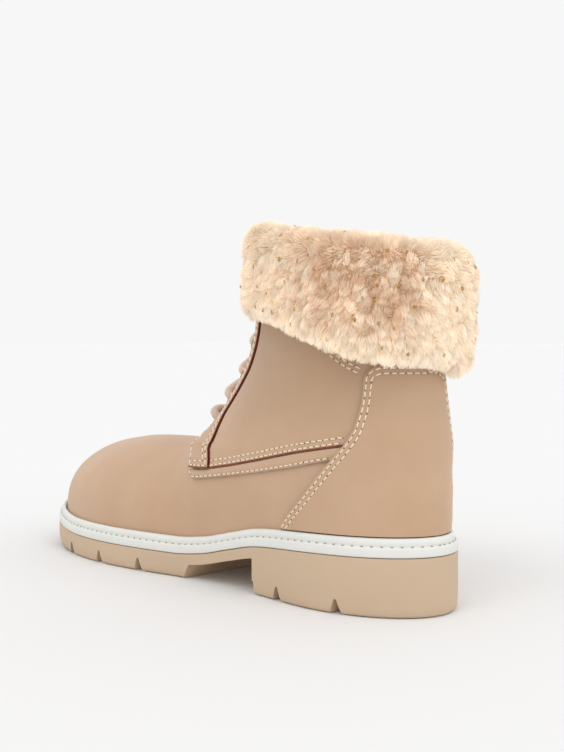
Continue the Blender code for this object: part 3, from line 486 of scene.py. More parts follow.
def back_line(height):
    return smooth(BACK_LINE, height / SHAFT_HEIGHT)


def half_width_squared(along, height, side):
    """Square of the half width at a point of the side view, from arches over the vamp and rings
    round the shaft, faded into each other over the instep."""
    along, height = np.broadcast_arrays(np.asarray(along, float), np.asarray(height, float))
    base = feather(along)
    rise = np.clip((height - base) / (crest_height(along) - base), 0.0, 1.0)
    arch = plan_width(along, side) ** 2 * end_rounding(along) * (1 - rise**VAMP_POWER)
    ring_width = SHAFT_HALF_WIDTH * smooth(SHAFT_WIDTH, height / SHAFT_HEIGHT)
    waist = plan_width(along, side) / HEEL_HALF_WIDTH
    ring_width = ring_width * (1 + (waist - 1) * (1 - ease((height - HEEL_FADE_START) / HEEL_FADE)))
    back = np.clip((along - back_line(height)) / SHAFT_ROUND_BACK, 0.0, 1.0)
    front = np.clip((crest_along(height) - along) / SHAFT_ROUND_FRONT, 0.0, 1.0)
    ring = ring_width**2 * (round_end(back, HEEL_POWER) * round_end(front, 2))
    shaft_share = ease((INSTEP_REACH - along) / INSTEP_FADE)
    return arch * (1 - shaft_share) + ring * shaft_share


def outward(along, height, side):
    """Unit normal of the last at a point of the side view, as (along, across, height)."""
    step = 0.0004
    width = np.sqrt(np.maximum(half_width_squared(along, height, side), 0.0))
    ahead, behind = (half_width_squared(along + k, height, side) for k in (step, -step))
    above, below = (half_width_squared(along, height + k, side) for k in (step, -step))
    normal = np.stack(
        [(behind - ahead) / (4 * step), width * side, (below - above) / (4 * step)], axis=-1
    )
    return normal / np.maximum(np.linalg.norm(normal, axis=-1, keepdims=True), 1e-9)


def last_point(along, height, side, offset=0.0):
    """Point of the last's surface, moved outwards by offset, in the model's frame."""
    width = np.sqrt(np.maximum(half_width_squared(along, height, side), 0.0))
    across = centre(along) + side * width
    if np.any(offset):
        normal = outward(along, height, side) * np.asarray(offset)[..., None]
        along, across, height = (
            along + normal[..., 0],
            across + normal[..., 1],
            height + normal[..., 2],
        )
    return world(along, across, height)


def last_normal(along, height, side):
    """Unit normal of the last in the model's frame."""
    normal = outward(along, height, side)
    return np.stack([normal[..., 1], -normal[..., 0], normal[..., 2]], axis=-1)


def beside_crest(reach, distance, side=1):
    """Side-view points beside the crest where the last is distance away from its middle."""
    reach, distance = np.broadcast_arrays(np.asarray(reach, float), np.asarray(distance, float))

    def on_crest(r):
        points = [np.interp(r, CREST_REACH, line) for line in (CREST_ALONG, CREST_HEIGHT)]
        return np.stack(points, axis=-1)

    tangent = on_crest(reach + 0.004) - on_crest(reach - 0.004)
    tangent /= np.linalg.norm(tangent, axis=-1, keepdims=True)
    inward = np.stack([tangent[..., 1], -tangent[..., 0]], axis=-1)
    start = on_crest(reach)
    near, far = np.zeros(reach.shape), np.full(reach.shape, 0.05)
    for _ in range(30):
        middle = (near + far) / 2
        point = start + inward * middle[..., None]
        short = half_width_squared(point[..., 0], point[..., 1], side) < distance**2
        near, far = np.where(short, middle, near), np.where(short, far, middle)
    return start + inward * near[..., None]


def reach_at_height(height):
    """Distance down the crest from its top to a height on the shaft or instep."""
    return float(np.interp(-height, -CREST_HEIGHT, CREST_REACH))


THROAT_FOOT = reach_at_height(THROAT_FOOT_HEIGHT)
COLLAR_FRONT = reach_at_height(SHAFT_HEIGHT + COLLAR_FRONT_RISE)


def collar_height(along):
    """The collar's top edge rises a little from heel to front."""
    return SHAFT_HEIGHT - COLLAR_DIP + COLLAR_RISE * np.clip(along / COLLAR_RUN, 0, 1)


def quarter_edge(along):
    return SHAFT_HEIGHT * smooth(QUARTER_EDGE, along / SOLE_LENGTH)


def band_edge(along):
    return SHAFT_HEIGHT * smooth(BAND_EDGE, along / SOLE_LENGTH)


def counter_reach(height):
    """How far forward of the sole's back the heel counter reaches at a height."""
    reach = smooth(COUNTER_EDGE, height / SHAFT_HEIGHT)
    drop = np.clip((height - (COUNTER_TOP - COUNTER_CORNER)) / COUNTER_CORNER, 0, 1)
    return reach - COUNTER_CORNER * (1 - np.sqrt(np.maximum(1 - drop**2, 0)))


def counter_offset(along, height):
    """The counter lies on the vamp below the quarter's edge and on the quarter above it."""
    on_quarter = ease((height - quarter_edge(along) + COUNTER_RISE) / (COUNTER_RISE - 0.0012))
    return LAYER_GAP + (PANEL + LAYER_GAP) * on_quarter


# Side-view grids of the panels
def resample(line, count):
    """Points at even distances along a line of any dimension."""
    line = np.asarray(line, float)
    reach = distances(line)
    even = np.linspace(0, reach[-1], count)
    return np.column_stack([np.interp(even, reach, line[:, k]) for k in range(line.shape[1])])


def coons(bottom, right, top, left, row_share):
    """Side-view grid between four edges, worked out with the back line straightened."""
    edges = []
    for edge in (bottom, right, top, left):
        edges.append(np.column_stack([edge[:, 0] - back_line(edge[:, 1]), edge[:, 1]]))
    bottom, right, top, left = edges
    q = np.linspace(0, 1, len(bottom))[None, :, None]
    r = row_share[:, :, None]
    grid = (1 - r) * bottom[None] + r * top[None] + (1 - q) * left[:, None] + q * right[:, None]
    grid -= (1 - q) * (1 - r) * bottom[0] + q * (1 - r) * bottom[-1]
    grid -= (1 - q) * r * top[0] + q * r * top[-1]
    grid[..., 0] += back_line(grid[..., 1])
    return grid


def upper_side_view(collar_columns, throat_columns, vamp_columns, rows):
    """Side-view grid of the whole upper: columns from heel to toe, rows from sole to top edge."""
    front = beside_crest(COLLAR_FRONT, THROAT_HALF_GAP)
    back = np.array([back_line(SHAFT_HEIGHT), collar_height(0.0)])
    collar = back + (front - back) * np.linspace(0, 1, collar_columns)[:, None] ** 1.5
    collar[:, 1] = np.minimum(collar_height(collar[:, 0]), front[1])
    reaches = np.linspace(COLLAR_FRONT, THROAT_FOOT, throat_columns + 1)[1:]
    throat = beside_crest(reaches, THROAT_HALF_GAP)
    ridge_reach = np.linspace(THROAT_FOOT + 0.0012, CREST_REACH[-1], vamp_columns)
    ridge = np.column_stack(
        [np.interp(ridge_reach, CREST_REACH, e) for e in (CREST_ALONG, CREST_HEIGHT)]
    )
    top = np.concatenate([collar, throat, ridge])
    collar_share = np.linspace(0, 1, collar_columns) ** 1.5
    under_collar = FEATHER_BACK + (UNDER_COLLAR - FEATHER_BACK) * collar_share
    under_throat = np.linspace(UNDER_COLLAR, UNDER_THROAT, throat_columns + 1)[1:]
    turn = np.linspace(0, math.pi / 2, vamp_columns + 1)[1:]
    under_vamp = UNDER_THROAT + (FEATHER_FRONT - UNDER_THROAT) * np.sin(turn)
    along = np.concatenate([under_collar, under_throat, under_vamp])
    bottom = np.column_stack([along, feather(along)])
    even = np.linspace(0, 1, rows)
    crowded = np.sin(even * math.pi / 2)
    step = np.arange(len(bottom)) - collar_columns + 1
    crowding = ease(step / throat_columns)[None, :]
    share = even[:, None] * (1 - crowding) + crowded[:, None] * crowding
    left_height = bottom[0, 1] + (top[0, 1] - bottom[0, 1]) * even
    left = np.column_stack([back_line(left_height), left_height])
    bottom[0, 0] = left[0, 0]
    top[0, 0] = left[-1, 0]
    right = bottom[-1] + (top[-1] - bottom[-1]) * crowded[:, None]
    return coons(bottom, right, top, left, share)


def smooth_line(points, count):
    """A dense smooth line through a few points, one row of values for each dimension."""
    points = np.array(points, float)
    reach = distances(points)
    dense = np.linspace(0, reach[-1], count)
    return [smooth(np.column_stack([reach, column]), dense) for column in points.T]


def curved(points, count):
    """Points at even distances along a smooth curve through a few side-view points."""
    return resample(np.column_stack(smooth_line(points, 400)), count)


def eyestay_back_line(count):
    """Side-view points down the eyestay's back edge, from the collar to its lower corner."""
    reaches = np.linspace(COLLAR_FRONT, reach_at_height(EYESTAY_WIDTH_END), 7)
    upper = beside_crest(reaches, EYESTAY_HALF_WIDTH - np.linspace(EYESTAY_TAPER, 0, 7))
    lower = [(a * SOLE_LENGTH, z * SHAFT_HEIGHT) for a, z in EYESTAY_BACK]
    corner = (EYESTAY_CORNER, float(quarter_edge(EYESTAY_CORNER)))
    return curved([*upper, *lower, corner], count)


def quarter_side_view(columns, rows):
    """Side-view grid of one quarter: back line, lower edge, eyestay and collar."""
    right = eyestay_back_line(rows)[::-1]
    right[:, 0] -= 2 * FIT_GAP
    back = np.array([back_line(SHAFT_HEIGHT), collar_height(0.0)])
    share = np.linspace(0, 1, columns)[:, None] ** 1.4
    top = back + (right[-1] - back) * share
    top[1:-1, 1] = np.minimum(collar_height(top[1:-1, 0]), right[-1, 1])
    along = back_line(quarter_edge(0)) + (right[0, 0] - back_line(quarter_edge(0))) * share[:, 0]
    bottom = np.column_stack([along, quarter_edge(along)])
    bottom[-1] = right[0]
    left_height = np.linspace(bottom[0, 1], top[0, 1], rows)
    left = np.column_stack([back_line(left_height) + 0.00002, left_height])
    bottom[0], top[0] = left[0], left[-1]
    even = np.linspace(0, 1, rows)[:, None] ** 1.15
    return coons(bottom, right, top, left, np.repeat(even, columns, axis=1))


def band_side_view(columns, rows):
    """Side-view grid of the strip under the outer quarter, from the counter forwards."""
    front = QUARTER_FRONT[0][0] * SOLE_LENGTH
    share = np.linspace(0, 1, rows)[:, None]
    reach = np.linspace(0, 1, columns)[None, :] ** 0.9
    start = BAND_START
    wide, high = BAND_CORNER
    for _ in range(6):
        along = start + (front - start) * reach
        corner = np.clip((along - front + wide) / wide, 0, 1)
        low = band_edge(along) + high * (1 - np.sqrt(1 - corner**2))
        height = low + (quarter_edge(along) - 2 * FIT_GAP - low) * share
        start = counter_reach(height[:, :1]) + 2 * FIT_GAP
    return np.stack(np.broadcast_arrays(along, height), axis=-1)


def eyestay_side_view(across_steps, rows):
    """Side-view grid of one eyestay: its lacing edge and its back edge."""
    lacing = beside_crest(np.linspace(COLLAR_FRONT, THROAT_FOOT, 40), THROAT_HALF_GAP + 0.0004)
    foot = np.array([(a * SOLE_LENGTH, z * SHAFT_HEIGHT) for a, z in QUARTER_FRONT])[::-1]
    foot[0] = lacing[-1]
    foot = curved(foot, 60)
    split = rows * 10 // 14
    lacing = np.concatenate([resample(lacing, split), resample(foot, rows - split + 1)[1:]])
    back = eyestay_back_line(rows)
    share = np.linspace(0, 1, across_steps)[None, :, None]
    return lacing[:, None] + (back - lacing)[:, None] * share


# Materials
MOTTLE_SOCKETS = (
    ("INPUT", "NodeSocketColor", ("Light", "Dark")),
    ("INPUT", "NodeSocketFloat", ("Blotch Scale", "Grain Scale", "Grain Share", "Base Roughness")),
    ("OUTPUT", "NodeSocketColor", ("Colour",)),
    ("OUTPUT", "NodeSocketFloat", ("Roughness", "Height")),
)
BLOTCH_RANGE = (0.32, 0.68)
GRAIN_ROUGHNESS = 0.12


def tone(red, green, blue):
    """Linear colour of a tint read off on the usual 0 to 255 scale."""
    scale = [c / 255 for c in (red, green, blue)]
    return [c / 12.92 if c < 0.04045 else ((c + 0.055) / 1.055) ** 2.4 for c in scale]


def length(name, description, default):
    return FloatProperty(name=name, description=description, default=default, unit="LENGTH")


class BootSizes(bpy.types.PropertyGroup):
    """Sizes of the boot's small details"""

    stitch_pitch: length("Stitch pitch", "From one stitch to the next", 0.0032)
    stitch_length: length("Stitch length", "Thread that shows above", 0.0027)
    thread: length("Thread", "Thickness of the sewing thread", 0.00064)
    welt_pitch: length("Welt pitch", "Between holes in the welt", 0.0042)
    pile: length("Pile", "Length of the fur", 0.0060)
    hairs: IntProperty(
        name="Tufts", description="Blades of fur on the cuff", default=190000, min=1000
    )
    foil_pitch: length("Foil pitch", "Between dots of foil", 0.0088)
    crease: length("Crease", "Depth of the creases over the ball", 0.0003)


def colour(name, description, red, green, blue):
    return FloatVectorProperty(
        name=name,
        description=description,
        default=tone(red, green, blue),
        subtype="COLOR",
        min=0.0,
        max=1.0,
    )


class BootColours(bpy.types.PropertyGroup):
    """Colours of the boot"""

    nubuck: colour("Nubuck", "Brushed leather of the panels", 202, 170, 141)
    nubuck_dark: colour("Nubuck shade", "Darker blotches of the leather", 190, 156, 126)
    raw_edge: colour("Cut edge", "Dyed cut edges of the straps", 150, 70, 42)
    thread: colour("Thread", "Sewing thread", 250, 234, 208)
    # Painted shade: the dark of the needle holes, laid on as flat discs
    hole_shade: colour("Needle holes", "Dark holes at the stitches' ends", 118, 82, 56)
    rubber: colour("Sole", "Rubber of the sole", 204, 179, 151)
    welt: colour("Welt", "Pale welt round the sole", 226, 226, 221)
    lace: colour("Lace", "Round lace", 236, 210, 196)
    metal: colour("Eyelets", "Eyelet metal", 214, 176, 130)
    fur_tip: colour("Fur tips", "Tips of the fur", 250, 240, 224)
    fur_root: colour("Fur roots", "Roots of the fur", 222, 196, 164)
    fur_patch: colour("Fur patches", "Caramel patches of the fur", 204, 162, 120)
    foil: colour("Foil", "Dots of gold foil", 212, 172, 92)
    fleece: colour("Fleece", "Lining of the foot and shaft", 240, 226, 204)


def set_inputs(node, inputs):
    """Links a node's inputs to the sockets given for them and sets the rest to their values."""
    for key, value in inputs.items():
        if isinstance(value, bpy.types.NodeSocket):
            node.id_data.links.new(value, node.inputs[key])
        else:
            node.inputs[key].default_value = value


def add_node(tree, kind, inputs, **settings):
    made = tree.nodes.new(kind)
    for key, value in settings.items():
        setattr(made, key, value)
    set_inputs(made, inputs)
    return made


def mottle_group():
    """Shared surface: two colours mixed by broad blotches and fine grain, with a grain height."""
    made = bpy.data.node_groups.get("mottle")
    if made:
        return made
    made = bpy.data.node_groups.new("mottle", "ShaderNodeTree")
    for way, kind, names in MOTTLE_SOCKETS:
        for name in names:
            made.interface.new_socket(name, in_out=way, socket_type=kind)
    into = made.nodes.new("NodeGroupInput").outputs
    out = made.nodes.new("NodeGroupOutput")
    place = add_node(made, "ShaderNodeTexCoord", {}).outputs["Object"]
    noises = []
    for word, detail, rough in (("Blotch", 3.0, 0.55), ("Grain", 4.0, 0.65)):
        values = {"Vector": place, "Scale": into[word + " Scale"], "Detail": detail}
        noise = add_node(made, "ShaderNodeTexNoise", {**values, "Roughness": rough})
        noises.append(noise.outputs["Fac"])
    blotch, grain = noises
    low, high = BLOTCH_RANGE
    spread = add_node(
        made, "ShaderNodeMapRange", {"Value": blotch, "From Min": low, "From Max": high}
    )
    values = {"Factor": into["Grain Share"], "A": spread.outputs["Result"], "B": grain}
    mixed = add_node(made, "ShaderNodeMix", values).outputs["Result"]
    values = {0: mixed, 6: into["Light"], 7: into["Dark"]}
    tint = add_node(made, "ShaderNodeMix", values, data_type="RGBA").outputs[2]
    values = {0: grain, 1: GRAIN_ROUGHNESS, 2: into["Base Roughness"]}
    rough = add_node(made, "ShaderNodeMath", values, operation="MULTIPLY_ADD").outputs[0]
    set_inputs(out, {"Colour": tint, "Roughness": rough, "Height": grain})
    return made


def new_finish(name):
    """A new material and its shader."""
    made = bpy.data.materials.new(name)
    made.use_nodes = True
    return made, made.node_tree.nodes["Principled BSDF"]


def finish(name, light, dark, blotch, grain, share, rough, bump, **shader_values):
    """A matt mottled finish. Bump is the depth of its grain in metres."""
    made = bpy.data.materials.get(name)
    if made:
        return made
    made, shader = new_finish(name)
    tree = made.node_tree
    values = {"Light": (*light, 1.0), "Dark": (*dark, 1.0), "Blotch Scale": blotch}
    values.update({"Grain Scale": grain, "Grain Share": share, "Base Roughness": rough})
    surface = add_node(tree, "ShaderNodeGroup", values, node_tree=mottle_group()).outputs
    values = {"Height": surface["Height"], "Distance": bump, "Strength": 1.0}
    raised = add_node(tree, "ShaderNodeBump", values).outputs["Normal"]
    values = {"Base Color": surface["Colour"], "Roughness": surface["Roughness"]}
    set_inputs(shader, {**values, "Normal": raised, **shader_values})
    return made


def darker(tint, share):
    return [c * share for c in tint]


def nubuck():
    """The panels' brushed leather, with painted shade that darkens it towards its top, under the
    cuff.
    """
    tint = bpy.context.scene.boot_colours
    nap = {"Sheen Weight": 0.25, "Sheen Roughness": 0.5, "Specular IOR Level": 0.2}
    made = bpy.data.materials.get("brushed_nubuck")
    if made:
        return made
    tints = tint.nubuck, tint.nubuck_dark
    made = finish("brushed_nubuck", *tints, 26, 1500, 0.35, 0.68, 0.00006, **nap)
    tree = made.node_tree
    shader = tree.nodes["Principled BSDF"]
    colour = shader.inputs["Base Color"].links[0].from_socket
    # Painted shade: the colour is scaled down with height, standing in for the cuff's shadow on the
    # upper
    place = add_node(tree, "ShaderNodeTexCoord", {}).outputs["Object"]
    height = add_node(tree, "ShaderNodeSeparateXYZ", {0: place}).outputs["Z"]
    values = dict(zip(("From Min", "From Max", "To Min", "To Max"), PAINTED_CUFF_SHADE))
    painted_shade = add_node(
        tree, "ShaderNodeMapRange", {"Value": height, **values}, interpolation_type="SMOOTHSTEP"
    )
    values = {0: colour, 3: painted_shade.outputs[0]}
    shaded = add_node(tree, "ShaderNodeVectorMath", values, operation="SCALE")
    set_inputs(shader, {"Base Color": shaded.outputs["Vector"]})
    return made


def cut_edge():
    tint = bpy.context.scene.boot_colours.raw_edge
    return finish("dyed_cut_edge", tint, darker(tint, 0.55), 300, 2400, 0.4, 0.6, 0.00008)


def fleece():
    tint = bpy.context.scene.boot_colours.fleece
    soft = {"Sheen Weight": 0.4}
    return finish("curled_fleece", tint, darker(tint, 0.82), 420, 900, 0.5, 0.85, 0.0012, **soft)


# Meshes
def take(obj):
    bpy.ops.object.select_all(action="DESELECT")
    obj.select_set(True)
    bpy.context.view_layer.objects.active = obj


def clean_up(obj, merge=1e-6, outwards=True):
    """Merges points that meet and, on a closed shape, turns its faces outwards."""
    take(obj)
    bpy.ops.object.mode_set(mode="EDIT")
    bpy.ops.mesh.select_all(action="SELECT")
    bpy.ops.mesh.remove_doubles(threshold=merge)
    if outwards:
        bpy.ops.mesh.normals_make_consistent(inside=False)
    bpy.ops.object.mode_set(mode="OBJECT")


def soften(obj, degrees):
    take(obj)
    bpy.ops.object.shade_smooth_by_angle(angle=math.radians(degrees))


def laid_grid(name, grid, *finishes):
    """A grid primitive whose points are laid on rows of positions."""
    rows, columns = grid.shape[:2]
    bpy.ops.object.select_all(action="DESELECT")
    bpy.ops.mesh.primitive_grid_add(x_subdivisions=columns - 1, y_subdivisions=rows - 1, size=1.0)
    obj = bpy.context.object
    obj.name = obj.data.name = name
    obj.data.vertices.foreach_set("co", np.ascontiguousarray(grid, dtype=np.float32).ravel())
    obj.data.update()
    for made in finishes:
        obj.data.materials.append(made)
    return obj


def inside_foot(points):
    """The places inside the foot and leg that lie behind points of the surface."""
    inside = points * 0
    inside[..., 1] = np.clip(points[..., 1], FOOT_FRONT, 0.0)
    inside[..., 2] = np.minimum(points[..., 2], FOOT_LEVEL)
    return inside


def face_away(obj):
    """Turns an open sheet so that its faces look away from the foot."""
    mesh = obj.data
    middles = np.empty((len(mesh.polygons), 3), np.float32)
    normals = np.empty((len(mesh.polygons), 3), np.float32)
    mesh.polygons.foreach_get("center", middles.ravel())
    mesh.polygons.foreach_get("normal", normals.ravel())
    if (normals * (middles - inside_foot(middles))).sum() < 0:
        mesh.flip_normals()


def apply_modifier(obj, kind, **settings):
    take(obj)
    made = obj.modifiers.new(kind.lower(), kind)
    for key, value in settings.items():
        setattr(made, key, value)
    bpy.ops.object.modifier_apply(modifier=made.name)


def give_wall(obj, thickness, inner_slot=0, rim_slot=0):
    apply_modifier(
        obj,
        "SOLIDIFY",
        thickness=thickness,
        offset=-1.0,
        material_offset=inner_slot,
        material_offset_rim=rim_slot,
    )


def joined(objects, name):
    take(objects[0])
    for obj in objects:
        obj.select_set(True)
    bpy.ops.object.join()
    made = bpy.context.object
    made.name = made.data.name = name
    return made


def primitive_shape(model):
    """Points and faces of a primitive, which is removed."""
    points = np.array([v.co for v in model.data.vertices])
    faces = np.array([list(p.vertices) for p in model.data.polygons])
    bpy.data.objects.remove(model)
    return points, faces


def scattered(name, points, faces, made):
    """A mesh of many copies of a shape, from the points of each copy and the faces of one."""
    index = faces + np.arange(len(points))[:, None, None] * points.shape[1]
    index = index.reshape(-1, faces.shape[1]).astype(np.int32)
    mesh = bpy.data.meshes.new(name)
    mesh.vertices.add(points.shape[0] * points.shape[1])
    mesh.vertices.foreach_set("co", np.ascontiguousarray(points, dtype=np.float32).ravel())
    mesh.loops.add(index.size)
    mesh.loops.foreach_set("vertex_index", index.ravel())
    mesh.polygons.add(len(index))
    mesh.polygons.foreach_set("loop_start", np.arange(0, index.size, index.shape[1], np.int32))
    mesh.update(calc_edges=True)
    obj = bpy.data.objects.new(name, mesh)
    bpy.context.scene.collection.objects.link(obj)
    mesh.materials.append(made)
    return obj


def place_piece(obj, slot, *nodes):
    """Puts a finished piece on the boot and hides the imported solids that it stands for, if any.
    """
    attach(obj, "root")
    if nodes:
        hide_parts(*nodes)


# Seams
def nearest(points, line):
    """Distance from each point to the nearest of a dense line's points."""
    tree = KDTree(len(line))
    for i, p in enumerate(line):
        tree.insert(p, i)
    tree.balance()
    flat = points.reshape(-1, 3)
    return np.array([tree.find(p)[2] for p in flat]).reshape(points.shape[:-1])


def spaced(line, step):
    """Points of a line at about a step from each other."""
    length = np.linalg.norm(np.diff(line, axis=0), axis=1).sum()
    return resample(line, max(int(length / step) + 1, 2))


def unit(vectors):
    return vectors / np.maximum(np.linalg.norm(vectors, axis=-1, keepdims=True), 1e-12)


def surface_tree(grid):
    """The panel's grid as a search tree that gives the nearest place and normal on it."""
    rows, columns = grid.shape[:2]
    points = [Vector(p) for p in grid.reshape(-1, 3)]
    first = np.arange(rows * columns).reshape(rows, columns)
    faces = np.stack([first[:-1, :-1], first[:-1, 1:], first[1:, 1:], first[1:, :-1]], axis=-1)
    return BVHTree.FromPolygons(points, faces.reshape(-1, 4).tolist())


def outward_normals(tree, line):
    """Nearest places on a surface and their normals, turned away from the foot."""
    places, normals = np.zeros((len(line), 3)), np.zeros((len(line), 3))
    for i, p in enumerate(line):
        place, normal, _, _ = tree.find_nearest(Vector(p))
        inside = Vector((0.0, min(max(place.y, FOOT_FRONT), 0.0), min(place.z, FOOT_LEVEL)))
        places[i] = place
        normals[i] = normal if normal.dot(place - inside) > 0 else -normal
    return places, normals


def contour_row(tree, edge, distance, rim, middle):
    """A line on the surface at a distance in from an edge, kept clear of the rest of the rim."""
    line = spaced(edge, EDGE_STEP)
    _, normals = outward_normals(tree, line)
    inward = unit(np.cross(normals, unit(np.gradient(line, axis=0))))
    if ((middle - line) * inward).sum() < 0:
        inward = -inward
    row, _ = outward_normals(tree, line + inward * distance)
    return row[nearest(row, rim) > ROW_CLEARANCE * distance]


def clear_of_counter(row):
    """The part of a row that the heel counter leaves in sight."""
    along = ORIGIN_FROM_BACK - row[:, 1]
    return row[along > counter_reach(row[:, 2]) + COUNTER_CLEARANCE]


def seam_relief(grid, normals, rim, rows):
    """The panel's grid with its edge rolled down and a soft trough under each stitched row."""
    away = nearest(grid, rim)
    drop = EDGE_DROP * (1 - ease(away / EDGE_ROLL)) ** 1.5
    for row in rows:
        drop = drop + ROW_DEPTH * np.exp(-((nearest(grid, row) / ROW_WIDTH) ** 2))
    return grid - normals * drop[..., None]


def grid_normals(grid):
    """Unit normals of a grid of points, turned away from the foot."""
    normals = unit(np.cross(np.gradient(grid, axis=1), np.gradient(grid, axis=0)))
    return normals * np.sign(((grid - inside_foot(grid)) * normals).sum())


def stitches_on(obj_tree, rows):
    """Places, directions and normals of the stitches along rows on a finished surface."""
    size = bpy.context.scene.boot_sizes
    found = []
    for row in rows:
        line = spaced(row, SEAM_STEP)
        count = max(int(len(line) * SEAM_STEP / size.stitch_pitch), 1)
        middles = (np.arange(count) + 0.5) * len(line) / count
        at = np.clip(middles.astype(int), 1, len(line) - 2)
        tangent = unit(line[at + 1] - line[at - 1])
        place, normal = outward_normals(obj_tree, line[at])
        found.append(np.stack([place, tangent, normal], axis=1))
    return np.concatenate(found)


def mesh_tree(obj):
    graph = bpy.context.evaluated_depsgraph_get()
    return BVHTree.FromObject(obj, graph)


def hole_ring(corners, half_length, half_width, lift):
    """Outline of a needle hole: along its seam, beside it and off the surface."""
    turn = np.linspace(0, 2 * math.pi, corners + 1)[:-1]
    return np.stack([np.cos(turn) * half_length, np.sin(turn) * half_width, 0 * turn + lift], 1)


def sew(name, frames):
    """Joined stitches: one rounded length of thread, copied to every place along the seams."""
    size, tint = bpy.context.scene.boot_sizes, bpy.context.scene.boot_colours
    bpy.ops.object.select_all(action="DESELECT")
    bpy.ops.mesh.primitive_uv_sphere_add(segments=8, ring_count=6, radius=1.0)
    bpy.ops.object.mode_set(mode="EDIT")
    bpy.ops.mesh.select_all(action="SELECT")
    bpy.ops.mesh.quads_convert_to_tris()
    bpy.ops.object.mode_set(mode="OBJECT")
    ball, faces = primitive_shape(bpy.context.object)
    end = np.abs(ball[:, 2])
    reach = np.sign(ball[:, 2]) * end**0.8 * size.stitch_length / 2
    wide = ball[:, 0] * size.thread / 2
    high = ball[:, 1] * size.thread / 2 + size.thread * 0.30 * (1 - end**3)
    shape = np.stack([reach, wide, high - size.thread * 0.10], axis=1)
    place, tangent, normal = frames[:, 0], frames[:, 1], frames[:, 2]
    tangent = unit(tangent - normal * (tangent * normal).sum(axis=1, keepdims=True))
    beside = np.cross(normal, tangent)
    lean = RNG.normal(0, STITCH_LEAN, len(place))[:, None]
    ahead, beside = tangent + beside * lean, beside - tangent * lean
    basis = np.stack([ahead, beside, normal], axis=1)
    points = place[:, None] + np.einsum("vk,nkc->nvc", shape, basis)
    shade = tint.thread, darker(tint.thread, 0.86)
    thread = finish("sewing_thread", *shade, 500, 3000, 0.5, 0.55, 0.00004)
    made = scattered(name, points, faces, thread)
    soften(made, 70)
    # Dark discs of painted shade where the needle holes are, one at each end of a stitch
    ring = hole_ring(6, *NEEDLE_HOLE)
    pits = []
    for end in (-1, 1):
        offset = np.array([end * size.stitch_pitch / 2, 0.0, 0.0])
        pits.append(place[:, None] + np.einsum("vk,nkc->nvc", ring + offset, basis))
    shade = tint.hole_shade, darker(tint.hole_shade, 0.6)
    hole_shade = finish("needle_hole_shade", *shade, 800, 3000, 0.5, 0.9, 0.00002)
    return made, scattered(name + "_holes", np.concatenate(pits), np.arange(6)[None], hole_shade)


RNG = np.random.default_rng(7)


# Leather panels
def crowded(count, near_end):
    """Shares from 0 to 1, closer together near the end."""
    t = np.linspace(0, 1, count)
    weight = 1 / (1 + near_end * np.exp(-(1 - t) * 9))
    reach = np.concatenate([[0], np.cumsum((weight[1:] + weight[:-1]) / 2)])
    return reach / reach[-1]


def panel_grid(side_view, side, offset):
    return last_point(side_view[..., 0], side_view[..., 1], side, offset)


def creases(along, height, side):
    """Soft creases over the ball and the instep, where the foot bends."""
    depth = bpy.context.scene.boot_sizes.crease
    width, fade = CREASE_SIZES
    total = 0.0
    for start, lean, low, high, share in CREASES:
        line = start + lean * (height - low) + 0.0016 * np.sin(height * 260 + start * 900 + side)
        band = window(height, low, high, fade, fade)
        total = total + share * band * np.exp(-(((along - line) / width) ** 2))
    return depth * total


def make_upper_skin():
    columns = (34, 24, 60)
    view = upper_side_view(*columns, 44)
    start, rise, fall = RELIEF_FADE
    relief = -PANEL_RELIEF * ease((view[..., 1] - quarter_edge(view[..., 0]) - start) / rise)
    relief *= ease((INSTEP_REACH - view[..., 0]) / fall)
    outer, inner = (
        panel_grid(view, s, relief - creases(view[..., 0], view[..., 1], s)) for s in (1, -1)
    )
    vamp = slice(columns[0] + columns[1], None)
    for met in (np.s_[:, 0], np.s_[:, -1], np.s_[-1, vamp]):
        outer[met] = inner[met] = (outer[met] + inner[met]) / 2
    halves = []
    for side, grid in ((1, outer), (-1, inner)):
        half = laid_grid(f"half_{side}", grid, nubuck(), fleece(), cut_edge())
        face_away(half)
        halves.append(half)
    skin = joined(halves, "upper_skin")
    clean_up(skin, merge=2e-5, outwards=False)
    give_wall(skin, WALL, inner_slot=1, rim_slot=2)
    soften(skin, 60)
    punch(skin, (1, -1))
    place_piece(skin, "nubuck", "upper")


def punch(obj, sides):
    """Cuts the eyelet holes through a piece."""
    pegs = []
    for side in sides:
        for row in range(EYELET_ROWS):
            point, normal = eyelet_place(row, side)
            bpy.ops.object.select_all(action="DESELECT")
            bpy.ops.mesh.primitive_cylinder_add(
                vertices=20,
                radius=EYELET_HOLE_RADIUS + 0.0003,
                depth=0.020,
                location=point,
                rotation=normal.to_track_quat("Z", "Y").to_euler(),
            )
            bpy.ops.object.transform_apply(location=True, rotation=True, scale=True)
            pegs.append(bpy.context.object)
    peg = joined(pegs, "hole_pegs")
    apply_modifier(obj, "BOOLEAN", object=peg, operation="DIFFERENCE", solver="EXACT")
    bpy.data.objects.remove(peg)


def rim_of(*edges):
    """Points all along the edges of a panel."""
    return np.concatenate([spaced(e, RIM_STEP) for e in edges])


def panel_piece(name, grid, rim, rows, thickness, dyed=None):
    """A leather panel: edge rolled, troughs under its seams, its cut edge dyed."""
    relieved = seam_relief(grid, grid_normals(grid), rim, rows)
    obj = laid_grid(name, relieved, nubuck(), nubuck(), cut_edge())
    face_away(obj)
    if dyed is not None:
        middles = np.array([face.center for face in obj.data.polygons])
        for face, gap in zip(obj.data.polygons, nearest(middles, dyed)):
            face.material_index = 2 if gap < DYED_EDGE else 0
    clean_up(obj, outwards=False)
    give_wall(obj, thickness, inner_slot=1, rim_slot=2)
    soften(obj, 50)
    return obj


